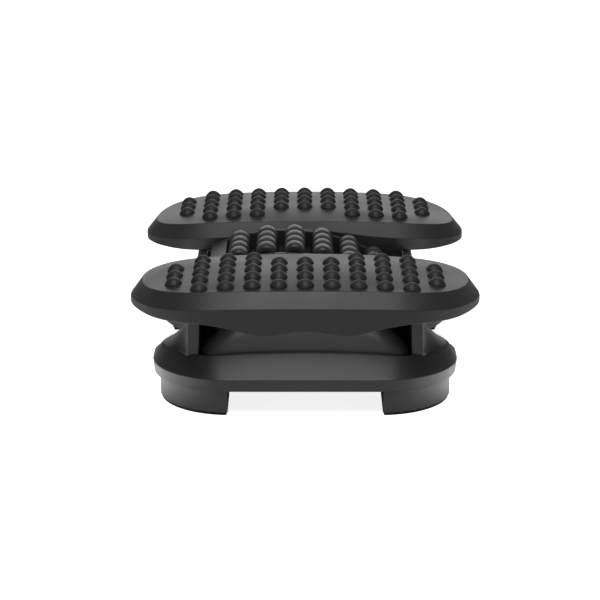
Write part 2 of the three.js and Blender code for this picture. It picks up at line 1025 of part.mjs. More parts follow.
function cradleFrame() {
  const end = cradle.halfLength;
  const reach = cradle.railEndDegrees;
  const railStart = cradle.railStartDegrees;
  const arcFacets = cornerSteps * 2;
  const inner = end - cradle.rimThickness;
  const floor = arcSlice(cradle.floorInner, cradle.floorOuter, -railStart, railStart);
  const rim = arcSlice(cradle.floorInner, cradle.rimTop, -railStart, railStart);
  const sides = [
    arcSlice(cradle.railBottom, cradle.railTop, railStart - 1, reach),
    arcSlice(cradle.railBottom, cradle.railTop, -reach, 1 - railStart),
  ];
  let whole = joined(
    alongY(floor, -end, end, arcFacets),
    alongY(rim, inner, end, arcFacets),
    alongY(rim, -end, -inner, arcFacets),
    ...sides.map((side) => alongY(side, -end, end, 2)),
  );
  const down = -cradle.axleToArcCentre;
  const axis = new THREE.Vector3(0, 0, 0);
  whole = whole.translate([0, 0, down]);
  const web = block(
    -cradle.hubRadius / 2,
    cradle.hubRadius / 2,
    -end,
    end,
    0,
    cradle.floorInner + down + wall / 2,
  );
  whole = joined(whole, web, rod(cradle.hubRadius, axisY, -end, end, axis));
  const bore = cradle.axleRadius + cradle.axleClearance;
  whole = whole.subtract(rod(bore, axisY, -end - overrun, end + overrun, axis));
  for (const angle of rollerAngles()) {
    const hole = roller.pinRadius + roller.pinClearance;
    const centre = rollerCentre(angle);
    whole = whole.subtract(rod(hole, axisY, -end - overrun, end + overrun, centre, 8));
  }
  return whole;
}

function rollerSolid() {
  const half = (roller.beads * roller.beadPitch) / 2;
  const bore = roller.pinRadius + roller.pinClearance;
  const profile = [new THREE.Vector2(bore, -half), new THREE.Vector2(roller.hubRadius, -half)];
  const beadShares = [0.18, 0.5, 0.82];
  for (let bead = 0; bead < roller.beads; bead += 1) {
    const low = -half + bead * roller.beadPitch;
    for (const share of beadShares) {
      const swell = Math.sin(Math.PI * share) ** 0.6;
      const radius = roller.waistRadius + (roller.beadRadius - roller.waistRadius) * swell;
      profile.push(new THREE.Vector2(radius, low + share * roller.beadPitch));
    }
    if (bead < roller.beads - 1) {
      profile.push(new THREE.Vector2(roller.waistRadius, low + roller.beadPitch));
    }
  }
  profile.push(new THREE.Vector2(roller.hubRadius, half));
  profile.push(new THREE.Vector2(bore, half));
  profile.push(profile[0].clone());
  return solidOf(new THREE.LatheGeometry(profile, boreFacets));
}

// Assembly

const footrest = new THREE.Group();

function place(parent, name, solid, material) {
  const mesh = new THREE.Mesh(geometryOf(solid), materials[material]);
  mesh.name = name;
  parent.add(mesh);
  return mesh;
}

function addBase(parent) {
  place(parent, "base_shell", baseShellWithTowers(), "shell");
  place(parent, "bottom_plate", bottomPlate(), "inner");
  const corners = [
    ["rear_right", 1, 1],
    ["rear_left", -1, 1],
    ["front_left", -1, -1],
    ["front_right", 1, -1],
  ];
  const footTop = foot.top - seatGap;
  const footSolid = footBlock(0, foot.soleThickness + seatGap, footTop);
  const soleSolid = footBlock(foot.soleInset, 0, foot.soleThickness);
  for (const [corner, signX, signY] of corners) {
    let footPiece = signX === 1 ? footSolid : footSolid.mirror([1, 0, 0]);
    let solePiece = signX === 1 ? soleSolid : soleSolid.mirror([1, 0, 0]);
    if (signY === -1) {
      footPiece = footPiece.mirror([0, 1, 0]);
      solePiece = solePiece.mirror([0, 1, 0]);
    }
    place(parent, `foot_${corner}`, footPiece, "shell");
    place(parent, `foot_sole_${corner}`, solePiece, "rubber");
    const pad = block(
      -stopPad.halfX,
      stopPad.halfX,
      -stopPad.halfY,
      stopPad.halfY,
      0,
      stopPad.thickness,
    );
    const stop = place(parent, `tilt_stop_${corner}`, pad, "rubber");
    stop.position.set(
      signX * stopPad.x,
      signY * (saddle.halfLength - stopPad.halfY - wall / 2),
      foot.top + basePlate.thickness + seatGap,
    );
  }
  const plateScrew = screwSolid(basePlate.thickness + seatGap + wall * 2);
  plateScrewPlaces().forEach(([x, y], index) => {
    const mesh = place(parent, `plate_screw_${index + 1}`, plateScrew, "steel");
    mesh.position.set(x, y, foot.top - seatGap);
  });
  for (const [side, sign] of [
    ["right", 1],
    ["left", -1],
  ]) {
    const pin = place(parent, `tilt_pin_${side}`, tiltPinSolid(), "steel");
    const bush = place(parent, `tilt_bush_${side}`, bushSolid(), "inner");
    if (sign === -1) {
      pin.rotation.z = Math.PI;
      bush.rotation.z = Math.PI;
    }
  }
}

function addRocker(parent) {
  for (const [end, turn] of [
    ["rear", 0],
    ["front", Math.PI],
  ]) {
    const group = new THREE.Group();
    group.rotation.z = turn;
    parent.add(group);
    place(group, `${end}_saddle`, saddleSolid(), "shell");
    place(group, `${end}_pad_shell`, padShell(), "pad");
    place(group, `${end}_grip_skin`, gripSkin(), "grip");
    const length = pad.topHeight - skin.thickness - wall - saddle.postBottom;
    const shank = length - wall - archDrop(saddle.postX);
    for (const [index, sign] of [
      [1, -1],
      [2, 1],
    ]) {
      const name = `${end}_pad_screw_${index}`;
      const mesh = place(group, name, screwSolid(shank), "steel");
      mesh.position.set(sign * saddle.postX, saddle.postY, saddle.postBottom - seatGap);
    }
  }
  for (const [side, turn] of [
    ["right", 0],
    ["left", Math.PI],
  ]) {
    place(parent, `tilt_beam_${side}`, beamSolid(), "inner").rotation.z = turn;
    place(parent, `side_rail_${side}`, railSolid(), "pad").rotation.z = turn;
  }
  const centre = new THREE.Vector3(0, 0, 0);
  const half = cradle.axleHalfLength;
  const axle = rod(cradle.axleRadius, axisY, -half, half, centre);
  place(parent, "cradle_axle", axle, "steel").position.z = cradleAxleHeight;
}

function addCradle(parent) {
  const group = new THREE.Group();
  group.position.z = cradleAxleHeight;
  group.rotation.y = radians(cradleLean);
  parent.add(group);
  place(group, "cradle_frame", cradleFrame(), "pad");
  rollerAngles().forEach((angle, index) => {
    const centre = rollerCentre(angle);
    const wheel = place(group, `roller_${index + 1}`, rollerSolid(), "bead");
    wheel.position.copy(centre);
    const end = cradle.halfLength;
    const spindle = rod(roller.pinRadius, axisY, -end, end, new THREE.Vector3(), 8);
    const pin = place(group, `roller_pin_${index + 1}`, spindle, "steel");
    pin.position.copy(centre);
  });
}

addBase(footrest);
addRocker(footrest);
addCradle(footrest);

export default footrest;
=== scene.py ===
import json
import math

import bmesh
import bpy
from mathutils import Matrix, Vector
from mathutils.bvhtree import BVHTree


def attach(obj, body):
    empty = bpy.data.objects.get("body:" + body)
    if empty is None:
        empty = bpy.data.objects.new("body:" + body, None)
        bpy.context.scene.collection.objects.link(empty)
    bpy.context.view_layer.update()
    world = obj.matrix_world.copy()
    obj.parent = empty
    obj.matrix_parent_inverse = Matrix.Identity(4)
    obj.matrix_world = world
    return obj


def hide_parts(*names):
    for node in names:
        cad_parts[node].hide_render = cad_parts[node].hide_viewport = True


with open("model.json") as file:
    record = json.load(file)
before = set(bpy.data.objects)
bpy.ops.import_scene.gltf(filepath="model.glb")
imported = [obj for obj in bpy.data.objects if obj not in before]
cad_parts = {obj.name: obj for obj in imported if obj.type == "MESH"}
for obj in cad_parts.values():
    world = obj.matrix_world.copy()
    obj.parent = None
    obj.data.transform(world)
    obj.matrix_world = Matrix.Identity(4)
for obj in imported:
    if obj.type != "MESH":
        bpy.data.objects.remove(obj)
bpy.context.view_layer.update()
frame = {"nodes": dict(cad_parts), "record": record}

# Sizes are in millimetres, as in the part's source, and become metres when a mesh is made.
MM = 0.001

# The cradle rocks about its axle at this height, and leans to the right at rest.
CRADLE_AXLE_Z = 101.5
CRADLE_LEAN = math.radians(7)

# The rollers stand on an arc, whose centre lies this far below the axle.
ARC_CENTRE_DROP = 167.4
ROLLER_AXIS_RADIUS = 200
ROLLER_PITCH = math.radians(8.7)
ROLLER_COUNT = 6

PAD_TOP_Z = 142.6
PAD_RIM_Z = 127.6
PILLOW_RISE = 4.5
PAD_MIDDLE = Vector((0, 134, 0))
PAD_THICKNESS = 5
PAD_TOP_INSET = 9
CEILING_INSET = 3

# A pad falls away towards its tips, gently at first and then more steeply.
DROOP_HALF_X = 169.5
DROOP_GENTLE = 4.6
DROOP_STEEP = 5.4

# Inside this distance from the middle of the part, a pad's side faces the cradle.
INNER_SIDE_Y = 124
INNER_SKIRT_Z = 110.8
INNER_LIFT = 8.5
INNER_LIFT_HALF_X = 95

SKIRT_THICKNESS = 2.8
SKIRT_LEAST_HEIGHT = 3.4
SKIRT_ROOT_DROP = 2

# Rounding along a pad's section: top, upper edge, rim, the skirt's foot outside and inside,
# the skirt's root and the ceiling.
PAD_SECTION_RADII = [0, 2.4, 1.8, 0.8, 0.6, 1.0, 0]
PAD_RING_SHARES = (0.14, 0.3, 0.46, 0.62, 0.78, 0.9)
PAD_RING_POINTS = 184
PAD_RING_ROUNDS = 3

# Right half of a pad's top edge, from the middle of its inner side round to the outer side.
PAD_TOP_HALF = [
    (0, 68.2), (40, 68.8), (84, 70.6), (118, 73), (140, 78), (156, 87.5), (164, 98),
    (168.2, 110), (169.3, 122), (168, 143), (162.6, 162.5), (155, 177), (146.5, 187),
    (137.5, 194.6), (126, 200.8), (110, 205.4), (91, 208.2), (45, 210.2), (0, 210.6),
]

# How far the chamfer reaches outwards, by the direction that the edge faces, in degrees.
# -90 is the inner side, 0 the tip and 90 the outer side.
CHAMFER_REACH = [
    (-90, 10.4), (-75, 10.2), (-50, 7), (-25, 8), (-5, 11), (5, 12.2), (22, 9.8),
    (32, 9.6), (55, 11.6), (75, 12.8), (90, 13),
]

# Height of the outer skirt's lower edge along X.
SKIRT_EDGE = [
    (0, 104), (13, 103.1), (25, 100.8), (38, 98.7), (48, 99), (63, 102.4), (83, 107.4),
    (105, 110.6), (120, 111), (150, 110.6), (185, 110.5),
]


def between(table, value):
    """A value read from pairs, on the straight line from one pair to the next."""
    if value <= table[0][0]:
        return table[0][1]
    for (low, low_value), (high, high_value) in zip(table, table[1:]):
        if value <= high:
            share = (value - low) / (high - low)
            return low_value + (high_value - low_value) * share
    return table[-1][1]


def eased(share):
    held = max(0.0, min(1.0, share))
    return held * held * (3 - 2 * held)


# Meshes


def piece_from(name, vertices, faces, materials, sharp):
    """A mesh object from vertices in millimetres, smooth but where faces meet sharply."""
    mesh = bpy.data.meshes.new(name)
    mesh.from_pydata([Vector(v) * MM for v in vertices], [], faces)
    mesh.validate()
    for material in materials:
        mesh.materials.append(material)
    work = bmesh.new()
    work.from_mesh(mesh)
    bmesh.ops.remove_doubles(work, verts=work.verts, dist=0.000001)
    bmesh.ops.recalc_face_normals(work, faces=work.faces)
    work.to_mesh(mesh)
    work.free()
    mesh.polygons.foreach_set("use_smooth", [True] * len(mesh.polygons))
    mesh.set_sharp_from_angle(angle=math.radians(sharp))
    obj = bpy.data.objects.new(name, mesh)
    bpy.context.scene.collection.objects.link(obj)
    return obj


class Builder:
    """Collects vertices and faces of one piece."""

    def __init__(self):
        self.vertices = []
        self.faces = []

    def rings(self, rings, closed=True, first_cap=None, last_cap=None, loop=False):
        """Skins rings of equal count. A cap is a centre point, or True for one flat face."""
        count = len(rings[0])
        start = len(self.vertices)
        for ring in rings:
            self.vertices.extend(tuple(point) for point in ring)
        bands = len(rings) if loop else len(rings) - 1
        for band in range(bands):
            low = start + band * count
            high = start + ((band + 1) % len(rings)) * count
            steps = count if closed else count - 1
            for i in range(steps):
                j = (i + 1) % count
                self.faces.append((low + i, low + j, high + j, high + i))
        last = start + (len(rings) - 1) * count
        for cap, offset in ((first_cap, start), (last_cap, last)):
            if cap is None:
                continue
            if cap is True:
                self.faces.append(tuple(offset + i for i in range(count)))
                continue
            self.vertices.append(tuple(cap))
            centre = len(self.vertices) - 1
            for i in range(count):
                self.faces.append((offset + i, offset + (i + 1) % count, centre))
        return self

    def prism(self, outline, place, low, high):
        """An outline run between two depths; place(a, b, depth) gives the point."""
        rings = [[place(a, b, depth) for a, b in outline] for depth in (low, high)]
        return self.rings(rings, first_cap=True, last_cap=True)

    def lathe(self, profile, place, segments):
        """A profile of (radius, height) pairs turned round; place(x, y, h) gives the point."""
        rings = []
        for radius, height in profile:
            ring = []
            for i in range(segments):
                angle = 2 * math.pi * i / segments
                ring.append(place(radius * math.cos(angle), radius * math.sin(angle), height))
            rings.append(ring)
        first = place(0, 0, profile[0][1])
        last = place(0, 0, profile[-1][1])
        return self.rings(rings, first_cap=first, last_cap=last)

    def make(self, name, materials, sharp):
        return piece_from(name, self.vertices, self.faces, materials, sharp)


def along_y(a, b, depth):
    return (a, depth, b)


def softened(obj, width, segments, angle):
    """Rounds the sharp edges of a piece."""
    bevel = obj.modifiers.new("edge_rounding", "BEVEL")
    bevel.width = width * MM
    bevel.segments = segments
    bevel.limit_method = "ANGLE"
    bevel.angle_limit = math.radians(angle)
    bevel.harden_normals = False
    return obj


def settle(obj, body, nodes=()):
    """Hands a finished piece to its body and hides the CAD nodes it stands for."""
    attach(obj, body)
    if nodes:
        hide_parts(*nodes)
    return obj


# A rounding takes at most this share of the side beside it, and a lead-in keeps it crisp.
ROW_REACH_SHARE = 0.42
OUTLINE_REACH_SHARE = 0.45
LEAD_SHARE = 0.15


def rounded_rows(rows, radii, steps=4):
    """Rounds a stack of rings at its corners, the rings given from one end to the other."""
    count = len(rows[0])
    result = []
    for k, ring in enumerate(rows):
        radius = radii[k]
        if radius == 0:
            result.append(ring)
            continue
        group = [[] for _ in range(steps + 3)]
        for i in range(count):
            here = Vector(ring[i])
            before = Vector(rows[k - 1][i]) - here
            after = Vector(rows[k + 1][i]) - here
            turn = math.pi - before.angle(after, math.pi)
            reach = radius * math.tan(turn / 2)
            back = min(reach, ROW_REACH_SHARE * before.length)
            ahead = min(reach, ROW_REACH_SHARE * after.length)
            before.normalize()
            after.normalize()
            start = here + before * back
            end = here + after * ahead
            group[0].append(start + before * back * LEAD_SHARE)
            for step in range(steps + 1):
                share = step / steps
                bend = start.lerp(here, share).lerp(here.lerp(end, share), share)
                group[step + 1].append(bend)
            group[steps + 2].append(end + after * ahead * LEAD_SHARE)
        result.extend(group)
    return result


def rounded_outline(points, radii, steps=5):
    """Rounds the corners of a closed outline, with a radius for each point."""
    result = []
    count = len(points)
    for i, (x, y) in enumerate(points):
        size = radii[i]
        here = Vector((x, y))
        if size == 0:
            result.append((x, y))
            continue
        before = Vector(points[i - 1]) - here
        after = Vector(points[(i + 1) % count]) - here
        turn = math.pi - before.angle(after)
        shorter = min(before.length, after.length)
        reach = min(size * math.tan(turn / 2), OUTLINE_REACH_SHARE * shorter)
        start = here + before.normalized() * reach
        end = here + after.normalized() * reach
        for step in range(steps + 1):
            share = step / steps
            point = start.lerp(here, share).lerp(here.lerp(end, share), share)
            result.append((point.x, point.y))
    return result


def rounded_rectangle(half_x, half_y, radius, corner_steps=20, side_steps=10):
    """A ring of points with the same count whatever its sizes."""
    points = []
    for quarter, (sign_x, sign_y) in enumerate(((1, 1), (-1, 1), (-1, -1), (1, -1))):
        centre = Vector((sign_x * (half_x - radius), sign_y * (half_y - radius)))
        for step in range(corner_steps + 1):
            angle = (quarter + step / corner_steps) * math.pi / 2
            points.append(centre + Vector((math.cos(angle), math.sin(angle))) * radius)
        next_sign = ((-1, 1), (-1, -1), (1, -1), (1, 1))[quarter]
        next_centre = Vector((next_sign[0] * (half_x - radius), next_sign[1] * (half_y - radius)))
        angle = (quarter + 1) * math.pi / 2
        end = next_centre + Vector((math.cos(angle), math.sin(angle))) * radius
        begin = points[-1]
        for step in range(1, side_steps):
            points.append(begin.lerp(end, step / side_steps))
    return points


# Materials

# The middle of a noise's output, over which tone and gloss go from end to end.
NOISE_LOW = 0.3
NOISE_HIGH = 0.7

CLOUD_SCALE = 14
CLOUD_CONTRAST = 0.12
SPECKLE_SHARE = 0.25
GLOSSIER = 0.04
DULLER = 0.06
GRAIN_STRENGTH = 0.12
GRAIN_DEPTH = 0.25

STEEL_MARK_SCALE = 300
STEEL_DARK = (0.26, 0.27, 0.29, 1)
STEEL_LIGHT = (0.42, 0.43, 0.45, 1)
STEEL_ROUGHNESS = (0.25, 0.42)


def new_material(name):
    material = bpy.data.materials.new(name)
    material.use_nodes = True
    tree = material.node_tree
    return material, tree.nodes, tree.links


def noise(nodes, links, place, scale, detail, roughness=0.5):
    """A noise that is fixed to the piece, by its Object coordinates."""
    pattern = nodes.new("ShaderNodeTexNoise")
    pattern.inputs["Scale"].default_value = scale
    pattern.inputs["Detail"].default_value = detail
    pattern.inputs["Roughness"].default_value = roughness
    links.new(place.outputs["Object"], pattern.inputs["Vector"])
    return pattern


def moulded_plastic(name, colour, roughness, grain, gloss=0.5):
    """Black moulded plastic: fine spark-eroded grain and faint cloudiness."""
    material, nodes, links = new_material(name)
    shader = nodes["Principled BSDF"]
    place = nodes.new("ShaderNodeTexCoord")
    cloud = noise(nodes, links, place, CLOUD_SCALE, 4)
    fine = noise(nodes, links, place, grain, 3, 0.6)
    tone = nodes.new("ShaderNodeValToRGB")
    dark = [c * (1 - CLOUD_CONTRAST) for c in colour]
    light = [c * (1 + CLOUD_CONTRAST) for c in colour]
    tone.color_ramp.elements[0].position = NOISE_LOW
    tone.color_ramp.elements[0].color = (*dark, 1)
    tone.color_ramp.elements[1].position = NOISE_HIGH
    tone.color_ramp.elements[1].color = (*light, 1)
    links.new(cloud.outputs["Fac"], tone.inputs["Fac"])
    speckle = nodes.new("ShaderNodeMix")
    speckle.data_type = "RGBA"
    speckle.blend_type = "MULTIPLY"
    speckle.inputs["Factor"].default_value = SPECKLE_SHARE
    links.new(tone.outputs["Color"], speckle.inputs["A"])
    links.new(fine.outputs["Color"], speckle.inputs["B"])
    links.new(speckle.outputs["Result"], shader.inputs["Base Color"])
    satin = nodes.new("ShaderNodeMapRange")
    satin.inputs["From Min"].default_value = NOISE_LOW
    satin.inputs["From Max"].default_value = NOISE_HIGH
    satin.inputs["To Min"].default_value = roughness - GLOSSIER
    satin.inputs["To Max"].default_value = roughness + DULLER
    links.new(cloud.outputs["Fac"], satin.inputs["Value"])
    links.new(satin.outputs["Result"], shader.inputs["Roughness"])
    bump = nodes.new("ShaderNodeBump")
    bump.inputs["Strength"].default_value = GRAIN_STRENGTH
    bump.inputs["Distance"].default_value = GRAIN_DEPTH * MM
    links.new(fine.outputs["Fac"], bump.inputs["Height"])
    links.new(bump.outputs["Normal"], shader.inputs["Normal"])
    shader.inputs["Specular IOR Level"].default_value = gloss
    return material


def turned_steel(name):
    """Plain steel with fine marks in tone and gloss."""
    material, nodes, links = new_material(name)
    shader = nodes["Principled BSDF"]
    place = nodes.new("ShaderNodeTexCoord")
    marks = noise(nodes, links, place, STEEL_MARK_SCALE, 5)
    tone = nodes.new("ShaderNodeValToRGB")
    tone.color_ramp.elements[0].color = STEEL_DARK
    tone.color_ramp.elements[1].color = STEEL_LIGHT
    links.new(marks.outputs["Fac"], tone.inputs["Fac"])
    links.new(tone.outputs["Color"], shader.inputs["Base Color"])
    satin = nodes.new("ShaderNodeMapRange")
    satin.inputs["To Min"].default_value = STEEL_ROUGHNESS[0]
    satin.inputs["To Max"].default_value = STEEL_ROUGHNESS[1]
    links.new(marks.outputs["Fac"], satin.inputs["Value"])
    links.new(satin.outputs["Result"], shader.inputs["Roughness"])
    shader.inputs["Metallic"].default_value = 1.0
    return material


base_plastic = moulded_plastic("base_plastic", (0.022, 0.022, 0.023), 0.4, 1500)
pad_plastic = moulded_plastic("pad_plastic", (0.026, 0.026, 0.027), 0.42, 1700)
nub_rubber = moulded_plastic("nub_rubber", (0.022, 0.022, 0.022), 0.5, 2200, 0.4)
bead_plastic = moulded_plastic("bead_plastic", (0.026, 0.026, 0.027), 0.38, 1200)
# Near-black plastic, much darker than the rest: painted shade for the shadowed gaps beside the
# cradle and for the hollow roller ends.
painted_shade_plastic = moulded_plastic("painted_shade_plastic", (0.007, 0.007, 0.007), 0.6, 1300, 0.3)
sole_rubber = moulded_plastic("sole_rubber", (0.006, 0.006, 0.006), 0.75, 900, 0.25)
steel = turned_steel("turned_steel")


# Pads

# The screw posts and bosses between a saddle and its pad, as radii and heights.
POST_X = 50
POST_Y = 124
PAD_BOSS = [(7, 122.4), (7, 137)]
SADDLE_POST = [(8, 96), (8, 121.4), (7.4, 122)]

RAIL_BOSS_X = 114.9
RAIL_BOSS_Y = 85.5
RAIL_BOSS = [(4.5, 110.6), (4.5, 134)]


def upright_at(x, y):
    """Places a turned shape so that its axis stands upright at a point."""
    return lambda a, b, h: (a + x, b + y, h)


def droop(x):
    share = x / DROOP_HALF_X
    return DROOP_GENTLE * share**2 + DROOP_STEEP * share**4


def inner_lift(x, y):
    return INNER_LIFT * eased(1 - abs(x) / INNER_LIFT_HALF_X) if y < INNER_SIDE_Y else 0


def pillow_height(x, share):
    """Height of a pad's top, by how far a point lies from its middle to its edge."""
    return PAD_TOP_Z - droop(x) + PILLOW_RISE * (1 - share**2)


def even_loop(half, count, rounds):
    """A closed, evenly spaced and gently smoothed loop from its right half."""
    points = [Vector(p) for p in half] + [Vector((-x, y)) for x, y in reversed(half[1:-1])]
    dense = []
    total = len(points)
    steps = 16
    for i in range(total):
        a, b, c, d = (points[(i + k) % total] for k in (-1, 0, 1, 2))
        for step in range(steps):
            t = step / steps
            dense.append(
                0.5 * ((2 * b) + (c - a) * t + (2 * a - 5 * b + 4 * c - d) * t**2
                       + (3 * b - a - 3 * c + d) * t**3)
            )
    lengths = [(dense[i] - dense[i - 1]).length for i in range(len(dense))]
    full = sum(lengths)
    loop = []
    travelled, i = 0.0, 0
    for k in range(count):
        wanted = full * k / count
        while travelled + lengths[(i + 1) % len(dense)] < wanted:
            i += 1
            travelled += lengths[i % len(dense)]
        span = lengths[(i + 1) % len(dense)]
        share = (wanted - travelled) / span
        loop.append(dense[i % len(dense)].lerp(dense[(i + 1) % len(dense)], share))
    for _ in range(rounds):
        loop = [
            (loop[i - 1] + 2 * loop[i] + loop[(i + 1) % count]) / 4 for i in range(count)
        ]
    return loop


def outward(loop, i):
    step = loop[(i + 1) % len(loop)] - loop[i - 1]
    return Vector((step.y, -step.x)).normalized()


def pad_rows():
    """The pad's rings, from the middle of its top round its edge to the middle of its ceiling."""
    loop = even_loop(PAD_TOP_HALF, PAD_RING_POINTS, PAD_RING_ROUNDS)
    middle = PAD_MIDDLE.to_2d()
    inner, edge, rim, low_out, low_in, high_in, ceiling = ([] for _ in range(7))
    for i, point in enumerate(loop):
        normal = outward(loop, i)
        facing = math.degrees(math.atan2(normal.y, abs(normal.x)))
        reach = between(CHAMFER_REACH, facing)
        inside = point - normal * PAD_TOP_INSET
        share = (inside - middle).length / (point - middle).length
        inner.append((inside.x, inside.y, pillow_height(inside.x, share)))
        edge.append((point.x, point.y, PAD_TOP_Z - droop(point.x)))
        out = point + normal * reach
        rim_z = PAD_RIM_Z - droop(point.x) + inner_lift(out.x, out.y)
        if out.y < INNER_SIDE_Y:
            skirt_z = INNER_SKIRT_Z + inner_lift(out.x, out.y)
        else:
            skirt_z = between(SKIRT_EDGE, abs(out.x))
        skirt_z = min(skirt_z, rim_z - SKIRT_LEAST_HEIGHT)
        rim.append((out.x, out.y, rim_z))
        low_out.append((out.x, out.y, skirt_z))
        wall = out - normal * SKIRT_THICKNESS
        low_in.append((wall.x, wall.y, skirt_z))
        high_in.append((wall.x, wall.y, rim_z - SKIRT_ROOT_DROP))
        under = point - normal * CEILING_INSET
        ceiling.append((under.x, under.y, PAD_TOP_Z - PAD_THICKNESS - droop(under.x)))
    section = [inner, edge, rim, low_out, low_in, high_in, ceiling]
    rows = rounded_rows(section, PAD_SECTION_RADII)
    top, bottom = [], []
    for step in PAD_RING_SHARES:
        ring, under = [], []
        for (x, y, _), (ux, uy, _), (ex, ey, _) in zip(inner, ceiling, edge):
            here = middle.lerp(Vector((x, y)), step)
            share = (here - middle).length / (Vector((ex, ey)) - middle).length
            ring.append((here.x, here.y, pillow_height(here.x, share)))
            there = middle.lerp(Vector((ux, uy)), step)
            under.append((there.x, there.y, PAD_TOP_Z - PAD_THICKNESS - droop(there.x)))
        top.append(ring)
        bottom.append(under)
    return top + rows + list(reversed(bottom))


def turned(points, half_turn):
    return [(-x, -y, z) for x, y, z in points] if half_turn else list(points)


def make_pad(end):
    half_turn = end == "front"
    builder = Builder()
    rings = [turned([tuple(p) for p in ring], half_turn) for ring in pad_rows()]
    side = -1 if half_turn else 1
    builder.rings(
        rings,
        first_cap=(0, side * PAD_MIDDLE.y, PAD_TOP_Z + PILLOW_RISE),
        last_cap=(0, side * PAD_MIDDLE.y, PAD_TOP_Z - PAD_THICKNESS),
    )
    # Screw bosses and the short bosses that hold the side rails hang under the pad.
    for x in (-POST_X, POST_X):
        builder.lathe(PAD_BOSS, upright_at(x, side * POST_Y), 24)
    for x in (-RAIL_BOSS_X, RAIL_BOSS_X):
        builder.lathe(RAIL_BOSS, upright_at(x, side * RAIL_BOSS_Y), 20)
    pad = builder.make(f"{end}_pad", [pad_plastic], 40)
    return settle(pad, "platform", [f"{end}_pad_shell"])


DOME_POWER = 0.5
DOME_SEGMENTS = 28
DOME_RINGS = 20


def nub_tree():
    """Stands a dome on every point, square to the pad's surface."""
    tree = bpy.data.node_groups.new("nub_field", "GeometryNodeTree")
    face = tree.interface
    face.new_socket("Geometry", in_out="INPUT", socket_type="NodeSocketGeometry")
    for label in ("Nub Radius", "Nub Height", "Root Depth"):
        face.new_socket(label, in_out="INPUT", socket_type="NodeSocketFloat")
    face.new_socket("Finish", in_out="INPUT", socket_type="NodeSocketMaterial")
    face.new_socket("Geometry", in_out="OUTPUT", socket_type="NodeSocketGeometry")
    nodes, links = tree.nodes, tree.links
    given = nodes.new("NodeGroupInput")
    result = nodes.new("NodeGroupOutput")
    ball = nodes.new("GeometryNodeMeshUVSphere")
    ball.inputs["Segments"].default_value = DOME_SEGMENTS
    ball.inputs["Rings"].default_value = DOME_RINGS
    ball.inputs["Radius"].default_value = 1
    where = nodes.new("GeometryNodeInputPosition")
    split = nodes.new("ShaderNodeSeparateXYZ")
    links.new(where.outputs["Position"], split.inputs["Vector"])
    # The upper half is the dome, and the lower half a shallow root inside the pad.
    above = nodes.new("FunctionNodeCompare")
    above.data_type = "FLOAT"
    above.operation = "GREATER_THAN"
    above.inputs["B"].default_value = 0
    links.new(split.outputs["Z"], above.inputs["A"])
    tall = nodes.new("GeometryNodeSwitch")
    tall.input_type = "FLOAT"
    links.new(above.outputs["Result"], tall.inputs["Switch"])
    links.new(given.outputs["Root Depth"], tall.inputs["False"])
    # Raising the height to a power makes the dome's side steep and its top broad.
    taper = nodes.new("ShaderNodeMath")
    taper.operation = "POWER"
    taper.inputs[1].default_value = DOME_POWER
    links.new(split.outputs["Z"], taper.inputs[0])
    rise = nodes.new("ShaderNodeMath")
    rise.operation = "MULTIPLY"
    links.new(taper.outputs["Value"], rise.inputs[0])
    links.new(given.outputs["Nub Height"], rise.inputs[1])
    links.new(rise.outputs["Value"], tall.inputs["True"])
    scale = nodes.new("ShaderNodeCombineXYZ")
    links.new(given.outputs["Nub Radius"], scale.inputs["X"])
    links.new(given.outputs["Nub Radius"], scale.inputs["Y"])
    links.new(tall.outputs["Output"], scale.inputs["Z"])
    sized = nodes.new("ShaderNodeVectorMath")
    sized.operation = "MULTIPLY"
    links.new(where.outputs["Position"], sized.inputs[0])
    links.new(scale.outputs["Vector"], sized.inputs[1])
    shaped = nodes.new("GeometryNodeSetPosition")
    links.new(ball.outputs["Mesh"], shaped.inputs["Geometry"])
    links.new(sized.outputs["Vector"], shaped.inputs["Position"])
    upright = nodes.new("GeometryNodeInputNamedAttribute")
    upright.data_type = "FLOAT_VECTOR"
    upright.inputs["Name"].default_value = "stands_along"
    lean = nodes.new("FunctionNodeAlignRotationToVector")
    lean.axis = "Z"
    links.new(upright.outputs["Attribute"], lean.inputs["Vector"])
    spread = nodes.new("GeometryNodeInstanceOnPoints")
    links.new(given.outputs["Geometry"], spread.inputs["Points"])
    links.new(shaped.outputs["Geometry"], spread.inputs["Instance"])
    links.new(lean.outputs["Rotation"], spread.inputs["Rotation"])
    real = nodes.new("GeometryNodeRealizeInstances")
    links.new(spread.outputs["Instances"], real.inputs["Geometry"])
    smooth = nodes.new("GeometryNodeSetShadeSmooth")
    links.new(real.outputs["Geometry"], smooth.inputs["Geometry"])
    finish = nodes.new("GeometryNodeSetMaterial")
    links.new(smooth.outputs["Geometry"], finish.inputs["Geometry"])
    links.new(given.outputs["Finish"], finish.inputs["Material"])
    links.new(finish.outputs["Geometry"], result.inputs["Geometry"])
    return tree


def grown(name, points, directions, tree, values, material):
    """Runs a tree on loose points and keeps its result as a plain mesh."""
    seed = bpy.data.meshes.new(name + "_points")
    seed.from_pydata([Vector(p) for p in points], [], [])
    stands = seed.attributes.new("stands_along", "FLOAT_VECTOR", "POINT")
    for i, direction in enumerate(directions):
        stands.data[i].vector = direction
    carrier = bpy.data.objects.new(name + "_points", seed)
    bpy.context.scene.collection.objects.link(carrier)
    modifier = carrier.modifiers.new("repeat", "NODES")
    modifier.node_group = tree
    for item in tree.interface.items_tree:
        if item.in_out == "INPUT" and item.name in values:
            modifier[item.identifier] = values[item.name]
    bpy.context.view_layer.update()
    graph = bpy.context.evaluated_depsgraph_get()
    mesh = bpy.data.meshes.new_from_object(carrier.evaluated_get(graph))
    mesh.name = name
    left_over = mesh.attributes.get("stands_along")
    if left_over:
        mesh.attributes.remove(left_over)
    if not mesh.materials:
        mesh.materials.append(material)
    bpy.data.objects.remove(carrier)
    obj = bpy.data.objects.new(name, mesh)
    bpy.context.scene.collection.objects.link(obj)
    return obj


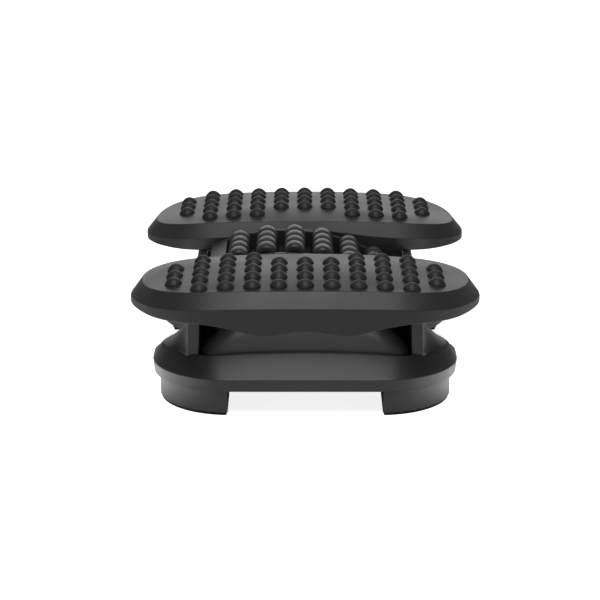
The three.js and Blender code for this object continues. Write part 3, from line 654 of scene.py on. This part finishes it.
NUB_RADIUS = 9.1
NUB_HEIGHT = 6.9
NUB_PITCH_X = 26.9
NUB_PITCH_Y = 25.1
FIRST_NUB_ROW = 94.5
NUB_ROOT = 1.2
NUB_ROWS = 5
NUB_END_COLUMN = 5
ABOVE_PADS = 300


def nub_places():
    """Rows of nubs without the pad's corners and the middle of its inner row."""
    for column in range(-NUB_END_COLUMN, NUB_END_COLUMN + 1):
        for row in range(NUB_ROWS):
            if abs(column) == NUB_END_COLUMN and row in (0, NUB_ROWS - 1):
                continue
            if abs(column) <= 1 and row == 0:
                continue
            yield column * NUB_PITCH_X, FIRST_NUB_ROW + row * NUB_PITCH_Y


def make_nubs(end, pad, tree):
    side = -1 if end == "front" else 1
    graph = bpy.context.evaluated_depsgraph_get()
    surface = BVHTree.FromObject(pad, graph)
    points, directions = [], []
    for x, y in nub_places():
        start = Vector((side * x * MM, side * y * MM, ABOVE_PADS * MM))
        point, normal, _, _ = surface.ray_cast(start, Vector((0, 0, -1)))
        points.append(point)
        directions.append(normal)
    values = {
        "Nub Radius": NUB_RADIUS * MM,
        "Nub Height": NUB_HEIGHT * MM,
        "Root Depth": NUB_ROOT * MM,
        "Finish": nub_rubber,
    }
    nubs = grown(f"{end}_nubs", points, directions, tree, values, nub_rubber)
    return settle(nubs, "platform", [f"{end}_grip_skin"])


# Saddles under the pads

SADDLE_ARCH_RADIUS = 138.3
SADDLE_ARCH_CENTRE_Z = -26
SADDLE_HALF_X = 109.2
SADDLE_BOTTOM = 54
SADDLE_NEAR = 56
SADDLE_FAR = 155
SADDLE_ROUND = 20
SADDLE_INNER_EDGE = 0.8
SADDLE_ARCH_STEPS = 60


def saddle_ring(inset, y):
    radius = SADDLE_ARCH_RADIUS - inset
    lowest = math.acos((SADDLE_BOTTOM - SADDLE_ARCH_CENTRE_Z) / radius)
    limit = min(math.asin((SADDLE_HALF_X - inset) / radius), lowest)
    half_x = radius * math.sin(limit)
    points = [(half_x, y, SADDLE_BOTTOM)]
    for step in range(SADDLE_ARCH_STEPS + 1):
        angle = limit - 2 * limit * step / SADDLE_ARCH_STEPS
        points.append(
            (radius * math.sin(angle), y, SADDLE_ARCH_CENTRE_Z + radius * math.cos(angle))
        )
    points.append((-half_x, y, SADDLE_BOTTOM))
    return points


def make_saddle(end):
    half_turn = end == "front"
    side = -1 if half_turn else 1
    rings = [
        saddle_ring(SADDLE_INNER_EDGE, SADDLE_NEAR),
        saddle_ring(0, SADDLE_NEAR + SADDLE_INNER_EDGE),
    ]
    steps = 12
    for step in range(steps + 1):
        angle = math.pi / 2 * (1 - step / steps)
        inset = SADDLE_ROUND * (1 - math.sin(angle))
        rings.append(saddle_ring(inset, SADDLE_FAR - SADDLE_ROUND * (1 - math.cos(angle))))
    builder = Builder()
    builder.rings(
        [turned(ring, half_turn) for ring in rings], first_cap=True, last_cap=True
    )
    for x in (-POST_X, POST_X):
        builder.lathe(SADDLE_POST, upright_at(x, side * POST_Y), 28)
    saddle = builder.make(f"{end}_arch", [base_plastic], 40)
    return settle(saddle, "platform", [f"{end}_saddle"])


# Side rails beside the cradle


RAIL_INNER_X = 109.6
RAIL_OUTER_X = 120.2
RAIL_BOTTOM_Z = 104.5
RAIL_TOP_Z = 110.2
RAIL_BEVEL = 4.2
RAIL_HALF_LENGTH = 90
RAIL_ROUNDING = [0.6, 0.6, 1.5, 4, 0.8]

# The gap plates, near-black sheets of painted shade, at the rear right. Their tops slope down
# towards the rail.
GAP_PLATE_Y = (52.7, 55.5)
GAP_PLATE_INNER_X = 84
GAP_PLATE_SLOPE_X = 98
GAP_PLATE_OUTER_X = 108.8
GAP_PLATE_BOTTOM_Z = 84.5
GAP_PLATE_TOP_Z = 115.2
GAP_PLATE_OUTER_Z = 111.5


def make_side_rail(side):
    sign = 1 if side == "right" else -1
    corners = [
        (RAIL_INNER_X, RAIL_BOTTOM_Z),
        (RAIL_OUTER_X, RAIL_BOTTOM_Z),
        (RAIL_OUTER_X, RAIL_TOP_Z - RAIL_BEVEL),
        (RAIL_OUTER_X - RAIL_BEVEL, RAIL_TOP_Z),
        (RAIL_INNER_X, RAIL_TOP_Z),
    ]
    outline = [(sign * x, z) for x, z in rounded_outline(corners, RAIL_ROUNDING)]
    builder = Builder()
    builder.prism(outline, along_y, -RAIL_HALF_LENGTH, RAIL_HALF_LENGTH)
    rail = builder.make(f"{side}_rail", [pad_plastic], 35)
    return settle(rail, "platform", [f"side_rail_{side}"])


def make_gap_shade_plate(end, side):
    """A thin upright plate that closes the gap between the cradle and the side rail. Its
    near-black colour is painted shade, for the shadow in that gap.
    """
    sign = 1 if side == "right" else -1
    near, far = GAP_PLATE_Y
    low, high = (near, far) if end == "rear" else (-far, -near)
    outline = [
        (GAP_PLATE_INNER_X, GAP_PLATE_BOTTOM_Z),
        (GAP_PLATE_OUTER_X, GAP_PLATE_BOTTOM_Z),
        (GAP_PLATE_OUTER_X, GAP_PLATE_OUTER_Z),
        (GAP_PLATE_SLOPE_X, GAP_PLATE_TOP_Z),
        (GAP_PLATE_INNER_X, GAP_PLATE_TOP_Z),
    ]
    builder = Builder()
    builder.prism([(sign * x, z) for x, z in outline], along_y, low, high)
    plate = builder.make(f"{end}_{side}_gap_shade_plate", [painted_shade_plastic], 35)
    return settle(plate, "platform")


# Base

# Rings of the hollow plinth: half width, half length and corner radius.
SKIRT_INSIDE = (156.6, 181, 79)
SKIRT = (159.6, 184, 82)
RIM = (161, 185, 82)
RIM_INSIDE = (158, 182, 79)
SHOULDER = (152, 160.2, 60)
SHOULDER_INSIDE = (149, 158.7, 58)
WELL = (110.6, 158, 8)
RIM_Z = 40
RIM_INSIDE_Z = 38.5
SKIRT_BOTTOM_Z = 27
PLINTH_WALL = 3
PLINTH_ROUNDING = [0, 0.8, 1.8, 3.2, 0.6, 0.4, 0.5, 0.5, 0]
PLINTH_SIDE_STEPS = 28

CROWN_Z = 61.8
CROWN_FALL = 3.8
CROWN_HALF_X = 100

# The base is drawn in at the middle of its sides.
RIM_WAIST = 29.5
RIM_WAIST_START = 80
SHOULDER_WAIST = 25
SHOULDER_WAIST_START = 113
SHOULDER_WAIST_RUN = 65


def crown(x):
    share = min(1, abs(x) / CROWN_HALF_X)
    return CROWN_Z - CROWN_FALL * share**2


def rim_waist(y):
    return RIM_WAIST * eased((RIM_WAIST_START - abs(y)) / RIM_WAIST_START)


def shoulder_waist(y):
    return SHOULDER_WAIST * eased((SHOULDER_WAIST_START - abs(y)) / SHOULDER_WAIST_RUN)


def straight(y):
    return 0


def waisted_ring(sizes, waist):
    ring = rounded_rectangle(*sizes, side_steps=PLINTH_SIDE_STEPS)
    return [(p.x - math.copysign(waist(p.y), p.x), p.y) for p in ring]


def level_ring(sizes, z):
    return [(x, y, z) for x, y in waisted_ring(sizes, rim_waist)]


def crown_ring(sizes, below, waist):
    return [(x, y, crown(x) - below) for x, y in waisted_ring(sizes, waist)]


def make_plinth():
    rows = [
        level_ring(SKIRT_INSIDE, SKIRT_BOTTOM_Z),
        level_ring(SKIRT, SKIRT_BOTTOM_Z),
        level_ring(RIM, RIM_Z),
        crown_ring(SHOULDER, 0, shoulder_waist),
        crown_ring(WELL, 0, straight),
        crown_ring(WELL, PLINTH_WALL, straight),
        crown_ring(SHOULDER_INSIDE, PLINTH_WALL, shoulder_waist),
        level_ring(RIM_INSIDE, RIM_INSIDE_Z),
    ]
    first = rows[0]
    rings = rounded_rows(rows + [first], PLINTH_ROUNDING)
    builder = Builder()
    builder.rings(rings[:-1], loop=True)
    plinth = builder.make("base_plinth", [base_plastic], 40)
    return settle(plinth, "base", ["base_shell"])


def shoulder_reach(y):
    """Half width of the shoulder's upper edge at a distance along Y."""
    half_x, half_y, radius = SHOULDER
    over = abs(y) - (half_y - radius)
    if over <= 0:
        return half_x - shoulder_waist(y)
    return half_x - radius + math.sqrt(max(0, radius**2 - over**2)) - shoulder_waist(y)


CHEEK_HALF_LENGTH = 153.5
CHEEK_TOP_Z = 88
CHEEK_END_RISE = 10
CHEEK_FOOT_Z = 52
CHEEK_INNER_X = 109.6
CHEEK_INNER_FOOT_X = 110.8
CHEEK_OUTER_X = 120.4

# The outside of a cheek follows this curve where the shoulder is widest, in X and Z.
CHEEK_SWEEP = ((121.9, 81), (123.4, 71), (135.2, 62.5), (150, 57.9))
CHEEK_SWEEP_X = 121.9
CHEEK_SWEEP_WIDTH = 28.1
CHEEK_SWEEP_STEPS = 12
CHEEK_SETBACK = 0.6
CHEEK_EDGE = 1.3
CHEEK_FOOT_TUCK = 0.3
LEAST_SPREAD = 0.04


def cheek_section(y):
    """An upright wall whose outside sweeps out to the shoulder, in X and Z."""
    top = CHEEK_TOP_Z + CHEEK_END_RISE * (y / CHEEK_HALF_LENGTH) ** 2
    room = shoulder_reach(y) - CHEEK_SETBACK - CHEEK_SWEEP_X
    spread = max(LEAST_SPREAD, room / CHEEK_SWEEP_WIDTH)
    curve = []
    for step in range(CHEEK_SWEEP_STEPS + 1):
        t = step / CHEEK_SWEEP_STEPS
        weights = (1 - t) ** 3, 3 * t * (1 - t) ** 2, 3 * t**2 * (1 - t), t**3
        x = sum(w * p[0] for w, p in zip(weights, CHEEK_SWEEP))
        z = sum(w * p[1] for w, p in zip(weights, CHEEK_SWEEP))
        curve.append((CHEEK_SWEEP_X + (x - CHEEK_SWEEP_X) * spread, z))
    foot = curve[-1][0] - CHEEK_FOOT_TUCK
    inside = [(CHEEK_INNER_FOOT_X, CHEEK_FOOT_Z), (CHEEK_INNER_X, top), (CHEEK_OUTER_X, top)]
    return inside + curve + [(foot, CHEEK_FOOT_Z)]


def make_cheek(side):
    sign = 1 if side == "right" else -1
    rings = []
    steps = 44
    for step in range(steps + 1):
        y = -CHEEK_HALF_LENGTH + 2 * CHEEK_HALF_LENGTH * step / steps
        rings.append([(sign * x, y, z) for x, z in cheek_section(y)])
    builder = Builder()
    builder.rings(rings, first_cap=True, last_cap=True)
    cheek = builder.make(f"{side}_cheek", [base_plastic], 40)
    softened(cheek, CHEEK_EDGE, 3, 50)
    return settle(cheek, "base", ["base_shell"])


# Feet

CORNERS = {
    "rear_right": (1, 1),
    "rear_left": (-1, 1),
    "front_left": (-1, -1),
    "front_right": (1, -1),
}


FOOT_OUTER_X = 154
FOOT_OUTER_Y = 181
FOOT_RADIUS = 77
FOOT_INNER_X = 80
FOOT_INNER_Y = 116
FOOT_ARC_STEPS = 24
FOOT_CORNERS = {"inner": 7, "first": 5, "last": 8}

# Insets and heights from the bottom up.
FOOT_PROFILE = [(1.5, 2.9), (0.5, 3.1), (0.1, 3.7), (0, 4.6), (0, 26.6)]
SOLE_PROFILE = [(2.2, 0), (1.4, 0.3), (1.2, 1), (1.2, 2.4)]


def foot_outline(inset):
    """One foot's outline at the rear right, from its inner corner, counter-clockwise."""
    half_x, half_y, radius = (size - inset for size in (FOOT_OUTER_X, FOOT_OUTER_Y, FOOT_RADIUS))
    near_x, near_y = FOOT_INNER_X + inset, FOOT_INNER_Y + inset
    centre = Vector((half_x - radius, half_y - radius))
    first = math.asin((near_y - centre.y) / radius)
    last = math.acos((near_x - centre.x) / radius)
    arc = []
    for step in range(FOOT_ARC_STEPS + 1):
        angle = first + (last - first) * step / FOOT_ARC_STEPS
        arc.append(tuple(centre + Vector((math.cos(angle), math.sin(angle))) * radius))
    points = [(near_x, near_y)] + arc
    along_arc = [0] * (FOOT_ARC_STEPS - 1)
    sizes = [FOOT_CORNERS["inner"], FOOT_CORNERS["first"], *along_arc, FOOT_CORNERS["last"]]
    return rounded_outline(points, sizes)


def make_foot(corner):
    sign_x, sign_y = CORNERS[corner]

    def stacked(profile):
        rings = []
        for inset, z in profile:
            rings.append([(sign_x * x, sign_y * y, z) for x, y in foot_outline(inset)])
        return Builder().rings(rings, first_cap=True, last_cap=True)

    foot = stacked(FOOT_PROFILE).make(f"{corner}_foot", [base_plastic], 40)
    settle(foot, "base", [f"foot_{corner}"])
    rubber = stacked(SOLE_PROFILE).make(f"{corner}_sole", [sole_rubber], 40)
    settle(rubber, "base", [f"foot_sole_{corner}"])


# Cradle and rollers

# Inner and outer radii of the tray's floor, its long rims and its raised ends.
TRAY_FLOOR = (181.1, 184.5)
TRAY_RIM = (181.6, 203.4)
TRAY_END = (190.2, 203.4)
TRAY_HALF_ANGLE = 26.8
TRAY_END_ANGLES = (25.9, 31.3)
TRAY_HALF_Y = 52
TRAY_RIM_INNER_Y = 46.6
WEB_HALF_X = 4
WEB_HEIGHT = 14
WEB_HALF_Y = 51.8
HUB_RADIUS = 8
HUB_HALF_Y = 51.9
HUB_SIDES = 32
TRAY_EDGE = 1.0

BEAD_COUNT = 4
BEAD_PITCH = 22.3
BEAD_CREST = 12.1
BEAD_WAIST = 8.6
BEAD_STEPS = 12

# A bead's share of its pitch, and the powers that give it full sides and a tight waist.
BEAD_SHARE = 0.97
BEAD_SIDE_POWER = 2.3
BEAD_CREST_POWER = 0.55

# Radii and distances of a roller's ends and of the discs that close them.
ROLLER_END = [(8.2, 44.4), (7.4, 44.6)]
ROLLER_DISC = [(3.2, 44.7), (6.6, 44.9), (6.2, 45.3), (3.4, 45.4)]


def cradle_place(x, y, z):
    """Leans a point, given upright about the cradle's axle, and puts it in its place."""
    turned_x = x * math.cos(CRADLE_LEAN) + z * math.sin(CRADLE_LEAN)
    turned_z = z * math.cos(CRADLE_LEAN) - x * math.sin(CRADLE_LEAN)
    return (turned_x, y, CRADLE_AXLE_Z + turned_z)


def arc_outline(inner, outer, first, last, steps):
    """A slice of a ring, in X and Z about the cradle's axle, angles from upright."""
    points = []
    for radius, order in ((outer, range(steps + 1)), (inner, range(steps, -1, -1))):
        for step in order:
            angle = math.radians(first + (last - first) * step / steps)
            points.append((radius * math.sin(angle), radius * math.cos(angle) - ARC_CENTRE_DROP))
    return points


def make_cradle():
    builder = Builder()
    place = lambda a, b, depth: cradle_place(a, depth, b)
    across = (-TRAY_HALF_ANGLE, TRAY_HALF_ANGLE, 40)
    builder.prism(arc_outline(*TRAY_FLOOR, *across), place, -TRAY_HALF_Y, TRAY_HALF_Y)
    for low, high in ((-TRAY_HALF_Y, -TRAY_RIM_INNER_Y), (TRAY_RIM_INNER_Y, TRAY_HALF_Y)):
        builder.prism(arc_outline(*TRAY_RIM, *across), place, low, high)
    near, far = TRAY_END_ANGLES
    for first, last in ((-far, -near), (near, far)):
        end = arc_outline(*TRAY_END, first, last, 8)
        builder.prism(end, place, -TRAY_HALF_Y, TRAY_HALF_Y)
    web = [(-WEB_HALF_X, 0), (WEB_HALF_X, 0), (WEB_HALF_X, WEB_HEIGHT), (-WEB_HALF_X, WEB_HEIGHT)]
    builder.prism(web, place, -WEB_HALF_Y, WEB_HALF_Y)
    hub = []
    for i in range(HUB_SIDES):
        angle = 2 * i * math.pi / HUB_SIDES
        hub.append((HUB_RADIUS * math.cos(angle), HUB_RADIUS * math.sin(angle)))
    builder.prism(hub, place, -HUB_HALF_Y, HUB_HALF_Y)
    cradle = builder.make("cradle_tray", [pad_plastic], 35)
    softened(cradle, TRAY_EDGE, 3, 50)
    return settle(cradle, "cradle", ["cradle_frame"])


def bead_profile():
    """Rounded beads with tight waists, as radius and distance along the roller."""
    profile = [(radius, -distance) for radius, distance in reversed(ROLLER_END)]
    for bead in range(BEAD_COUNT):
        centre = (bead - (BEAD_COUNT - 1) / 2) * BEAD_PITCH
        for step in range(BEAD_STEPS + 1):
            u = -BEAD_SHARE + 2 * BEAD_SHARE * step / BEAD_STEPS
            fullness = (1 - abs(u) ** BEAD_SIDE_POWER) ** BEAD_CREST_POWER
            radius = BEAD_WAIST + (BEAD_CREST - BEAD_WAIST) * fullness
            profile.append((radius, centre + u * BEAD_PITCH / 2))
    return profile + ROLLER_END


def make_roller(number):
    angle = (number - 1 - (ROLLER_COUNT - 1) / 2) * ROLLER_PITCH
    centre_x = ROLLER_AXIS_RADIUS * math.sin(angle)
    centre_z = ROLLER_AXIS_RADIUS * math.cos(angle) - ARC_CENTRE_DROP
    place = lambda a, b, h: cradle_place(centre_x + a, h, centre_z + b)
    builder = Builder()
    builder.lathe(bead_profile(), place, 40)
    beads = builder.make(f"beads_{number}", [bead_plastic], 50)
    settle(beads, f"massage_roller_{number}", [f"roller_{number}"])
    # The end discs take the near-black plastic as painted shade, for the shadow inside each
    # roller's hollow hub.
    caps = Builder()
    for end in (-1, 1):
        caps.lathe([(radius, end * distance) for radius, distance in ROLLER_DISC], place, 28)
    disc = caps.make(f"roller_ends_{number}", [painted_shade_plastic], 40)
    settle(disc, f"massage_roller_{number}")


# Screws


def screw_tree():
    """Stands a countersunk screw head on every point."""
    tree = bpy.data.node_groups.new("screw_set", "GeometryNodeTree")
    face = tree.interface
    face.new_socket("Geometry", in_out="INPUT", socket_type="NodeSocketGeometry")
    for label in ("Head Radius", "Head Height", "Shank Radius", "Shank Length", "Slot Width"):
        face.new_socket(label, in_out="INPUT", socket_type="NodeSocketFloat")
    face.new_socket("Finish", in_out="INPUT", socket_type="NodeSocketMaterial")
    face.new_socket("Geometry", in_out="OUTPUT", socket_type="NodeSocketGeometry")
    nodes, links = tree.nodes, tree.links
    given = nodes.new("NodeGroupInput")
    result = nodes.new("NodeGroupOutput")

    def cylinder(radius, depth, segments, sign):
        solid = nodes.new("GeometryNodeMeshCylinder")
        solid.inputs["Vertices"].default_value = segments
        links.new(given.outputs[radius], solid.inputs["Radius"])
        links.new(given.outputs[depth], solid.inputs["Depth"])
        half = nodes.new("ShaderNodeMath")
        half.operation = "MULTIPLY"
        half.inputs[1].default_value = sign * 0.5
        links.new(given.outputs[depth], half.inputs[0])
        lift = nodes.new("ShaderNodeCombineXYZ")
        links.new(half.outputs["Value"], lift.inputs["Z"])
        moved = nodes.new("GeometryNodeTransform")
        links.new(solid.outputs["Mesh"], moved.inputs["Geometry"])
        links.new(lift.outputs["Vector"], moved.inputs["Translation"])
        return moved.outputs["Geometry"]

    joined = nodes.new("GeometryNodeJoinGeometry")
    links.new(cylinder("Head Radius", "Head Height", 32, -1), joined.inputs["Geometry"])
    links.new(cylinder("Shank Radius", "Shank Length", 20, 1), joined.inputs["Geometry"])
    for turn in (0, math.pi / 2):
        blade = nodes.new("GeometryNodeMeshCube")
        size = nodes.new("ShaderNodeCombineXYZ")
        links.new(given.outputs["Head Radius"], size.inputs["X"])
        links.new(given.outputs["Slot Width"], size.inputs["Y"])
        links.new(given.outputs["Slot Width"], size.inputs["Z"])
        links.new(size.outputs["Vector"], blade.inputs["Size"])
        drop = nodes.new("ShaderNodeMath")
        drop.operation = "MULTIPLY"
        drop.inputs[1].default_value = -1
        links.new(given.outputs["Head Height"], drop.inputs[0])
        lift = nodes.new("ShaderNodeCombineXYZ")
        links.new(drop.outputs["Value"], lift.inputs["Z"])
        moved = nodes.new("GeometryNodeTransform")
        moved.inputs["Rotation"].default_value = (0, 0, turn)
        links.new(blade.outputs["Mesh"], moved.inputs["Geometry"])
        links.new(lift.outputs["Vector"], moved.inputs["Translation"])
        links.new(moved.outputs["Geometry"], joined.inputs["Geometry"])
    spread = nodes.new("GeometryNodeInstanceOnPoints")
    links.new(given.outputs["Geometry"], spread.inputs["Points"])
    links.new(joined.outputs["Geometry"], spread.inputs["Instance"])
    real = nodes.new("GeometryNodeRealizeInstances")
    links.new(spread.outputs["Instances"], real.inputs["Geometry"])
    finish = nodes.new("GeometryNodeSetMaterial")
    links.new(real.outputs["Geometry"], finish.inputs["Geometry"])
    links.new(given.outputs["Finish"], finish.inputs["Material"])
    links.new(finish.outputs["Geometry"], result.inputs["Geometry"])
    return tree


SCREW_HEAD_RADIUS = 4.1
SCREW_HEAD_HEIGHT = 2.2
SCREW_SHANK_RADIUS = 1.9
SCREW_SLOT = 0.9

PLATE_SCREW_X = 126
PLATE_SCREW_Y = 95
PLATE_SCREW_Z = 26.7
PLATE_SCREW_LENGTH = 9
PAD_SCREW_Z = 93.7
PAD_SCREW_LENGTH = 38


def make_screws(name, points, shank, body, nodes, tree):
    values = {
        "Head Radius": SCREW_HEAD_RADIUS * MM,
        "Head Height": SCREW_HEAD_HEIGHT * MM,
        "Shank Radius": SCREW_SHANK_RADIUS * MM,
        "Shank Length": shank * MM,
        "Slot Width": SCREW_SLOT * MM,
        "Finish": steel,
    }
    placed = [tuple(value * MM for value in point) for point in points]
    screws = grown(name, placed, [(0, 0, 1)] * len(placed), tree, values, steel)
    return settle(screws, body, nodes)


# The whole

dome_tree = nub_tree()
for end in ("front", "rear"):
    make_nubs(end, make_pad(end), dome_tree)
    make_saddle(end)
for side in ("left", "right"):
    make_side_rail(side)
    for end in ("front", "rear"):
        make_gap_shade_plate(end, side)
    make_cheek(side)
make_plinth()
for corner in CORNERS:
    make_foot(corner)
make_cradle()
for number in range(1, ROLLER_COUNT + 1):
    make_roller(number)

fastener_tree = screw_tree()
make_screws(
    "plate_screws",
    [(x * PLATE_SCREW_X, y * PLATE_SCREW_Y, PLATE_SCREW_Z) for x, y in CORNERS.values()],
    PLATE_SCREW_LENGTH,
    "base",
    [f"plate_screw_{i}" for i in range(1, 5)],
    fastener_tree,
)
make_screws(
    "pad_screws",
    [(x, y, PAD_SCREW_Z) for x in (-POST_X, POST_X) for y in (-POST_Y, POST_Y)],
    PAD_SCREW_LENGTH,
    "platform",
    [f"{end}_pad_screw_{i}" for end in ("rear", "front") for i in (1, 2)],
    fastener_tree,
)

FINISHES = {
    "shell": base_plastic,
    "pad": pad_plastic,
    "grip": nub_rubber,
    "bead": bead_plastic,
    "inner": painted_shade_plastic,
    "rubber": sole_rubber,
    "steel": steel,
}
node_slots = {entry["node"]: entry["material_slot"] for entry in frame["record"]["subparts"]}
for node_name, node in frame["nodes"].items():
    finish = FINISHES[node_slots[node_name]]
    for index in range(len(node.material_slots)):
        node.material_slots[index].material = finish

# Floor, light and camera, in metres

FLOOR_REACH = 9
FLOOR_COLOUR = (0.9, 0.9, 0.9, 1)

# What the camera sees of the floor is lifted by this much, and its shadow stays.
FLOOR_LIFT = 0.85

# The world is white to the camera and lights the part only this much.
WORLD_LIGHT = 0.2

# Each lamp's name, place, target, width, length and radiance.
LAMPS = [
    ("overhead_softbox", (0, -0.45, 1.7), (0, -0.1, 0.1), 0.8, 1.5, 2.7),
    ("front_overhead", (0, -1.15, 1.5), (0, -0.15, 0.12), 0.5, 0.5, 6),
    ("back_panel", (0, 2.4, 0.75), (0, 0, 0.15), 2.0, 1.1, 1.25),
    ("left_floor_strip", (-0.25, -0.17, 0.034), (-0.25, -0.17, 0), 0.15, 0.26, 3.2),
    ("right_floor_strip", (0.25, -0.17, 0.034), (0.25, -0.17, 0), 0.15, 0.26, 3.2),
    ("shoulder_strip", (0, -0.2, 0.097), (0, -0.19, 0), 0.2, 0.06, 2.3),
]

CAMERA_PLACE = (-0.00542, -2.3233, 0.7617)
CAMERA_TILT = math.radians(73.444)
CAMERA_LENS = 132
SENSOR_WIDTH = 36


def make_floor():
    mesh = bpy.data.meshes.new("floor")
    signs = ((-1, -1), (1, -1), (1, 1), (-1, 1))
    corners = [(x * FLOOR_REACH, y * FLOOR_REACH, 0) for x, y in signs]
    mesh.from_pydata(corners, [], [(0, 1, 2, 3)])
    floor = bpy.data.objects.new("floor", mesh)
    bpy.context.scene.collection.objects.link(floor)
    material, nodes, links = new_material("pale_floor")
    nodes.clear()
    out = nodes.new("ShaderNodeOutputMaterial")
    matt = nodes.new("ShaderNodeBsdfDiffuse")
    matt.inputs["Color"].default_value = FLOOR_COLOUR
    lift = nodes.new("ShaderNodeEmission")
    ray = nodes.new("ShaderNodeLightPath")
    amount = nodes.new("ShaderNodeMath")
    amount.operation = "MULTIPLY"
    amount.inputs[1].default_value = FLOOR_LIFT
    links.new(ray.outputs["Is Camera Ray"], amount.inputs[0])
    links.new(amount.outputs["Value"], lift.inputs["Strength"])
    both = nodes.new("ShaderNodeAddShader")
    links.new(matt.outputs["BSDF"], both.inputs[0])
    links.new(lift.outputs["Emission"], both.inputs[1])
    links.new(both.outputs["Shader"], out.inputs["Surface"])
    mesh.materials.append(material)


def make_world():
    world = bpy.data.worlds.new("studio")
    bpy.context.scene.world = world
    world.use_nodes = True
    nodes, links = world.node_tree.nodes, world.node_tree.links
    back = nodes["Background"]
    back.inputs["Color"].default_value = (1, 1, 1, 1)
    ray = nodes.new("ShaderNodeLightPath")
    level = nodes.new("ShaderNodeMapRange")
    level.inputs["To Min"].default_value = WORLD_LIGHT
    level.inputs["To Max"].default_value = 1.0
    links.new(ray.outputs["Is Camera Ray"], level.inputs["Value"])
    links.new(level.outputs["Result"], back.inputs["Strength"])


def make_lamp(name, place, target, size_x, size_y, radiance):
    lamp = bpy.data.lights.new(name, "AREA")
    lamp.shape = "RECTANGLE"
    lamp.size = size_x
    lamp.size_y = size_y
    lamp.energy = radiance * math.pi * size_x * size_y
    obj = bpy.data.objects.new(name, lamp)
    obj.location = place
    obj.rotation_euler = (Vector(target) - Vector(place)).to_track_quat("-Z", "Y").to_euler()
    obj.visible_camera = False
    bpy.context.scene.collection.objects.link(obj)


make_floor()
make_world()
for lamp_values in LAMPS:
    make_lamp(*lamp_values)

camera_data = bpy.data.cameras.new("camera")
camera_data.lens = CAMERA_LENS
camera_data.sensor_width = SENSOR_WIDTH
camera = bpy.data.objects.new("camera", camera_data)
camera.location = CAMERA_PLACE
camera.rotation_euler = (CAMERA_TILT, 0, 0)
bpy.context.scene.collection.objects.link(camera)
bpy.context.scene.camera = camera
bpy.context.scene.view_settings.view_transform = "Standard"
